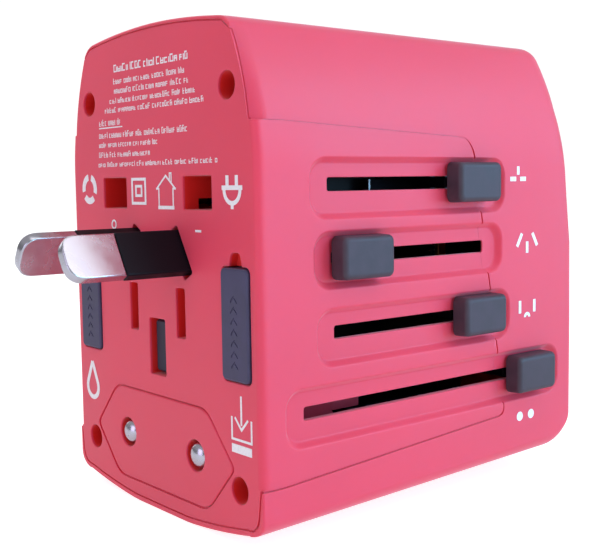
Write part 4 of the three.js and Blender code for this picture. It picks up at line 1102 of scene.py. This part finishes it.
def make_studio():
    """A studio that is white to the eye and darker in reflections, mostly just above the horizon."""
    world = bpy.data.worlds.new("studio")
    world.use_nodes = True
    nodes, links = world.node_tree.nodes, world.node_tree.links
    backdrop = set_inputs(nodes["Background"], Color=(1, 1, 1, 1), Strength=1.05)
    room = set_inputs(nodes.new("ShaderNodeBackground"), Strength=0.45)
    place = nodes.new("ShaderNodeTexCoord")
    split = nodes.new("ShaderNodeSeparateXYZ")
    links.new(place.outputs["Generated"], split.inputs["Vector"])
    height = set_inputs(nodes.new("ShaderNodeMapRange"), From_Min=-1.0)
    links.new(split.outputs["Z"], height.inputs["Value"])
    ramp = nodes.new("ShaderNodeValToRGB")
    elements = ramp.color_ramp.elements
    for spot, level in ((0.45, 0.9), (0.52, 0.45), (0.62, 0.6), (0.72, 1.0)):
        elements.new(spot).color = (level, level, level * 1.02, 1)
    elements[0].color = (0.9, 0.9, 0.9, 1)
    elements[-1].color = (1.0, 1.0, 1.0, 1)
    links.new(height.outputs["Result"], ramp.inputs["Fac"])
    links.new(ramp.outputs["Color"], room.inputs["Color"])
    rays = nodes.new("ShaderNodeLightPath")
    mix = nodes.new("ShaderNodeMixShader")
    links.new(rays.outputs["Is Camera Ray"], mix.inputs["Fac"])
    links.new(room.outputs["Background"], mix.inputs[1])
    links.new(backdrop.outputs["Background"], mix.inputs[2])
    links.new(mix.outputs["Shader"], nodes["World Output"].inputs["Surface"])
    bpy.context.scene.world = world


def make_camera():
    azimuth, elevation, roll = math.radians(50.61), math.radians(5.14), math.radians(-0.83)
    forward = Vector((-math.sin(azimuth) * math.cos(elevation), math.cos(azimuth) * math.cos(elevation),
                      -math.sin(elevation)))
    right = Vector((math.cos(azimuth), math.sin(azimuth), 0))
    up = right.cross(forward)
    right, up = right * math.cos(roll) + up * math.sin(roll), up * math.cos(roll) - right * math.sin(roll)
    camera = bpy.data.cameras.new("camera")
    camera.lens = 60.44
    camera.sensor_width = 36
    camera.clip_start = 0.01
    obj = bpy.data.objects.new("camera", camera)
    turn = Matrix((right, up, -forward)).transposed().to_4x4()
    obj.matrix_world = Matrix.Translation(Vector((124.65, -75.48, 1.2)) * MM) @ turn
    bpy.context.scene.collection.objects.link(obj)
    bpy.context.scene.camera = obj
    bpy.context.scene.view_settings.view_transform = "Standard"


# ---- assembly

make_camera()
make_case()
make_hex_block()
for knob_name, knob_body in (("uk_knob", "uk_slider"), ("au_knob", "au_slider"), ("us_knob", "us_slider"),
                             ("eu_knob", "eu_pins")):
    make_knob(knob_name, knob_body)
make_pin_sets()
make_leaf()
make_pad("fuse_drawer", "fuse_holder", 1)
make_pad("spare_fuse_drawer", "spare_fuse_holder", -1)
make_socket_plate()
for index, port_x in enumerate(USB_PLACES):
    make_usb_port(index + 1, port_x)
make_face_print()
make_side_print()

slots = {row["node"]: row["material_slot"] for row in frame["record"]["subparts"]}
for node_name, node in frame["nodes"].items():
    node.data.materials.clear()
    # the contact block gets the near-black painted shade instead of its ivory
    node.data.materials.append(SHADE_DARK_MOULDING if node_name == "contact_block" else LOOK[slots[node_name]])
    weld = node.modifiers.new("weld", "WELD")
    weld.merge_threshold = 1e-6
    soften(node, 0.12)

make_stage()
make_lights()
make_studio()
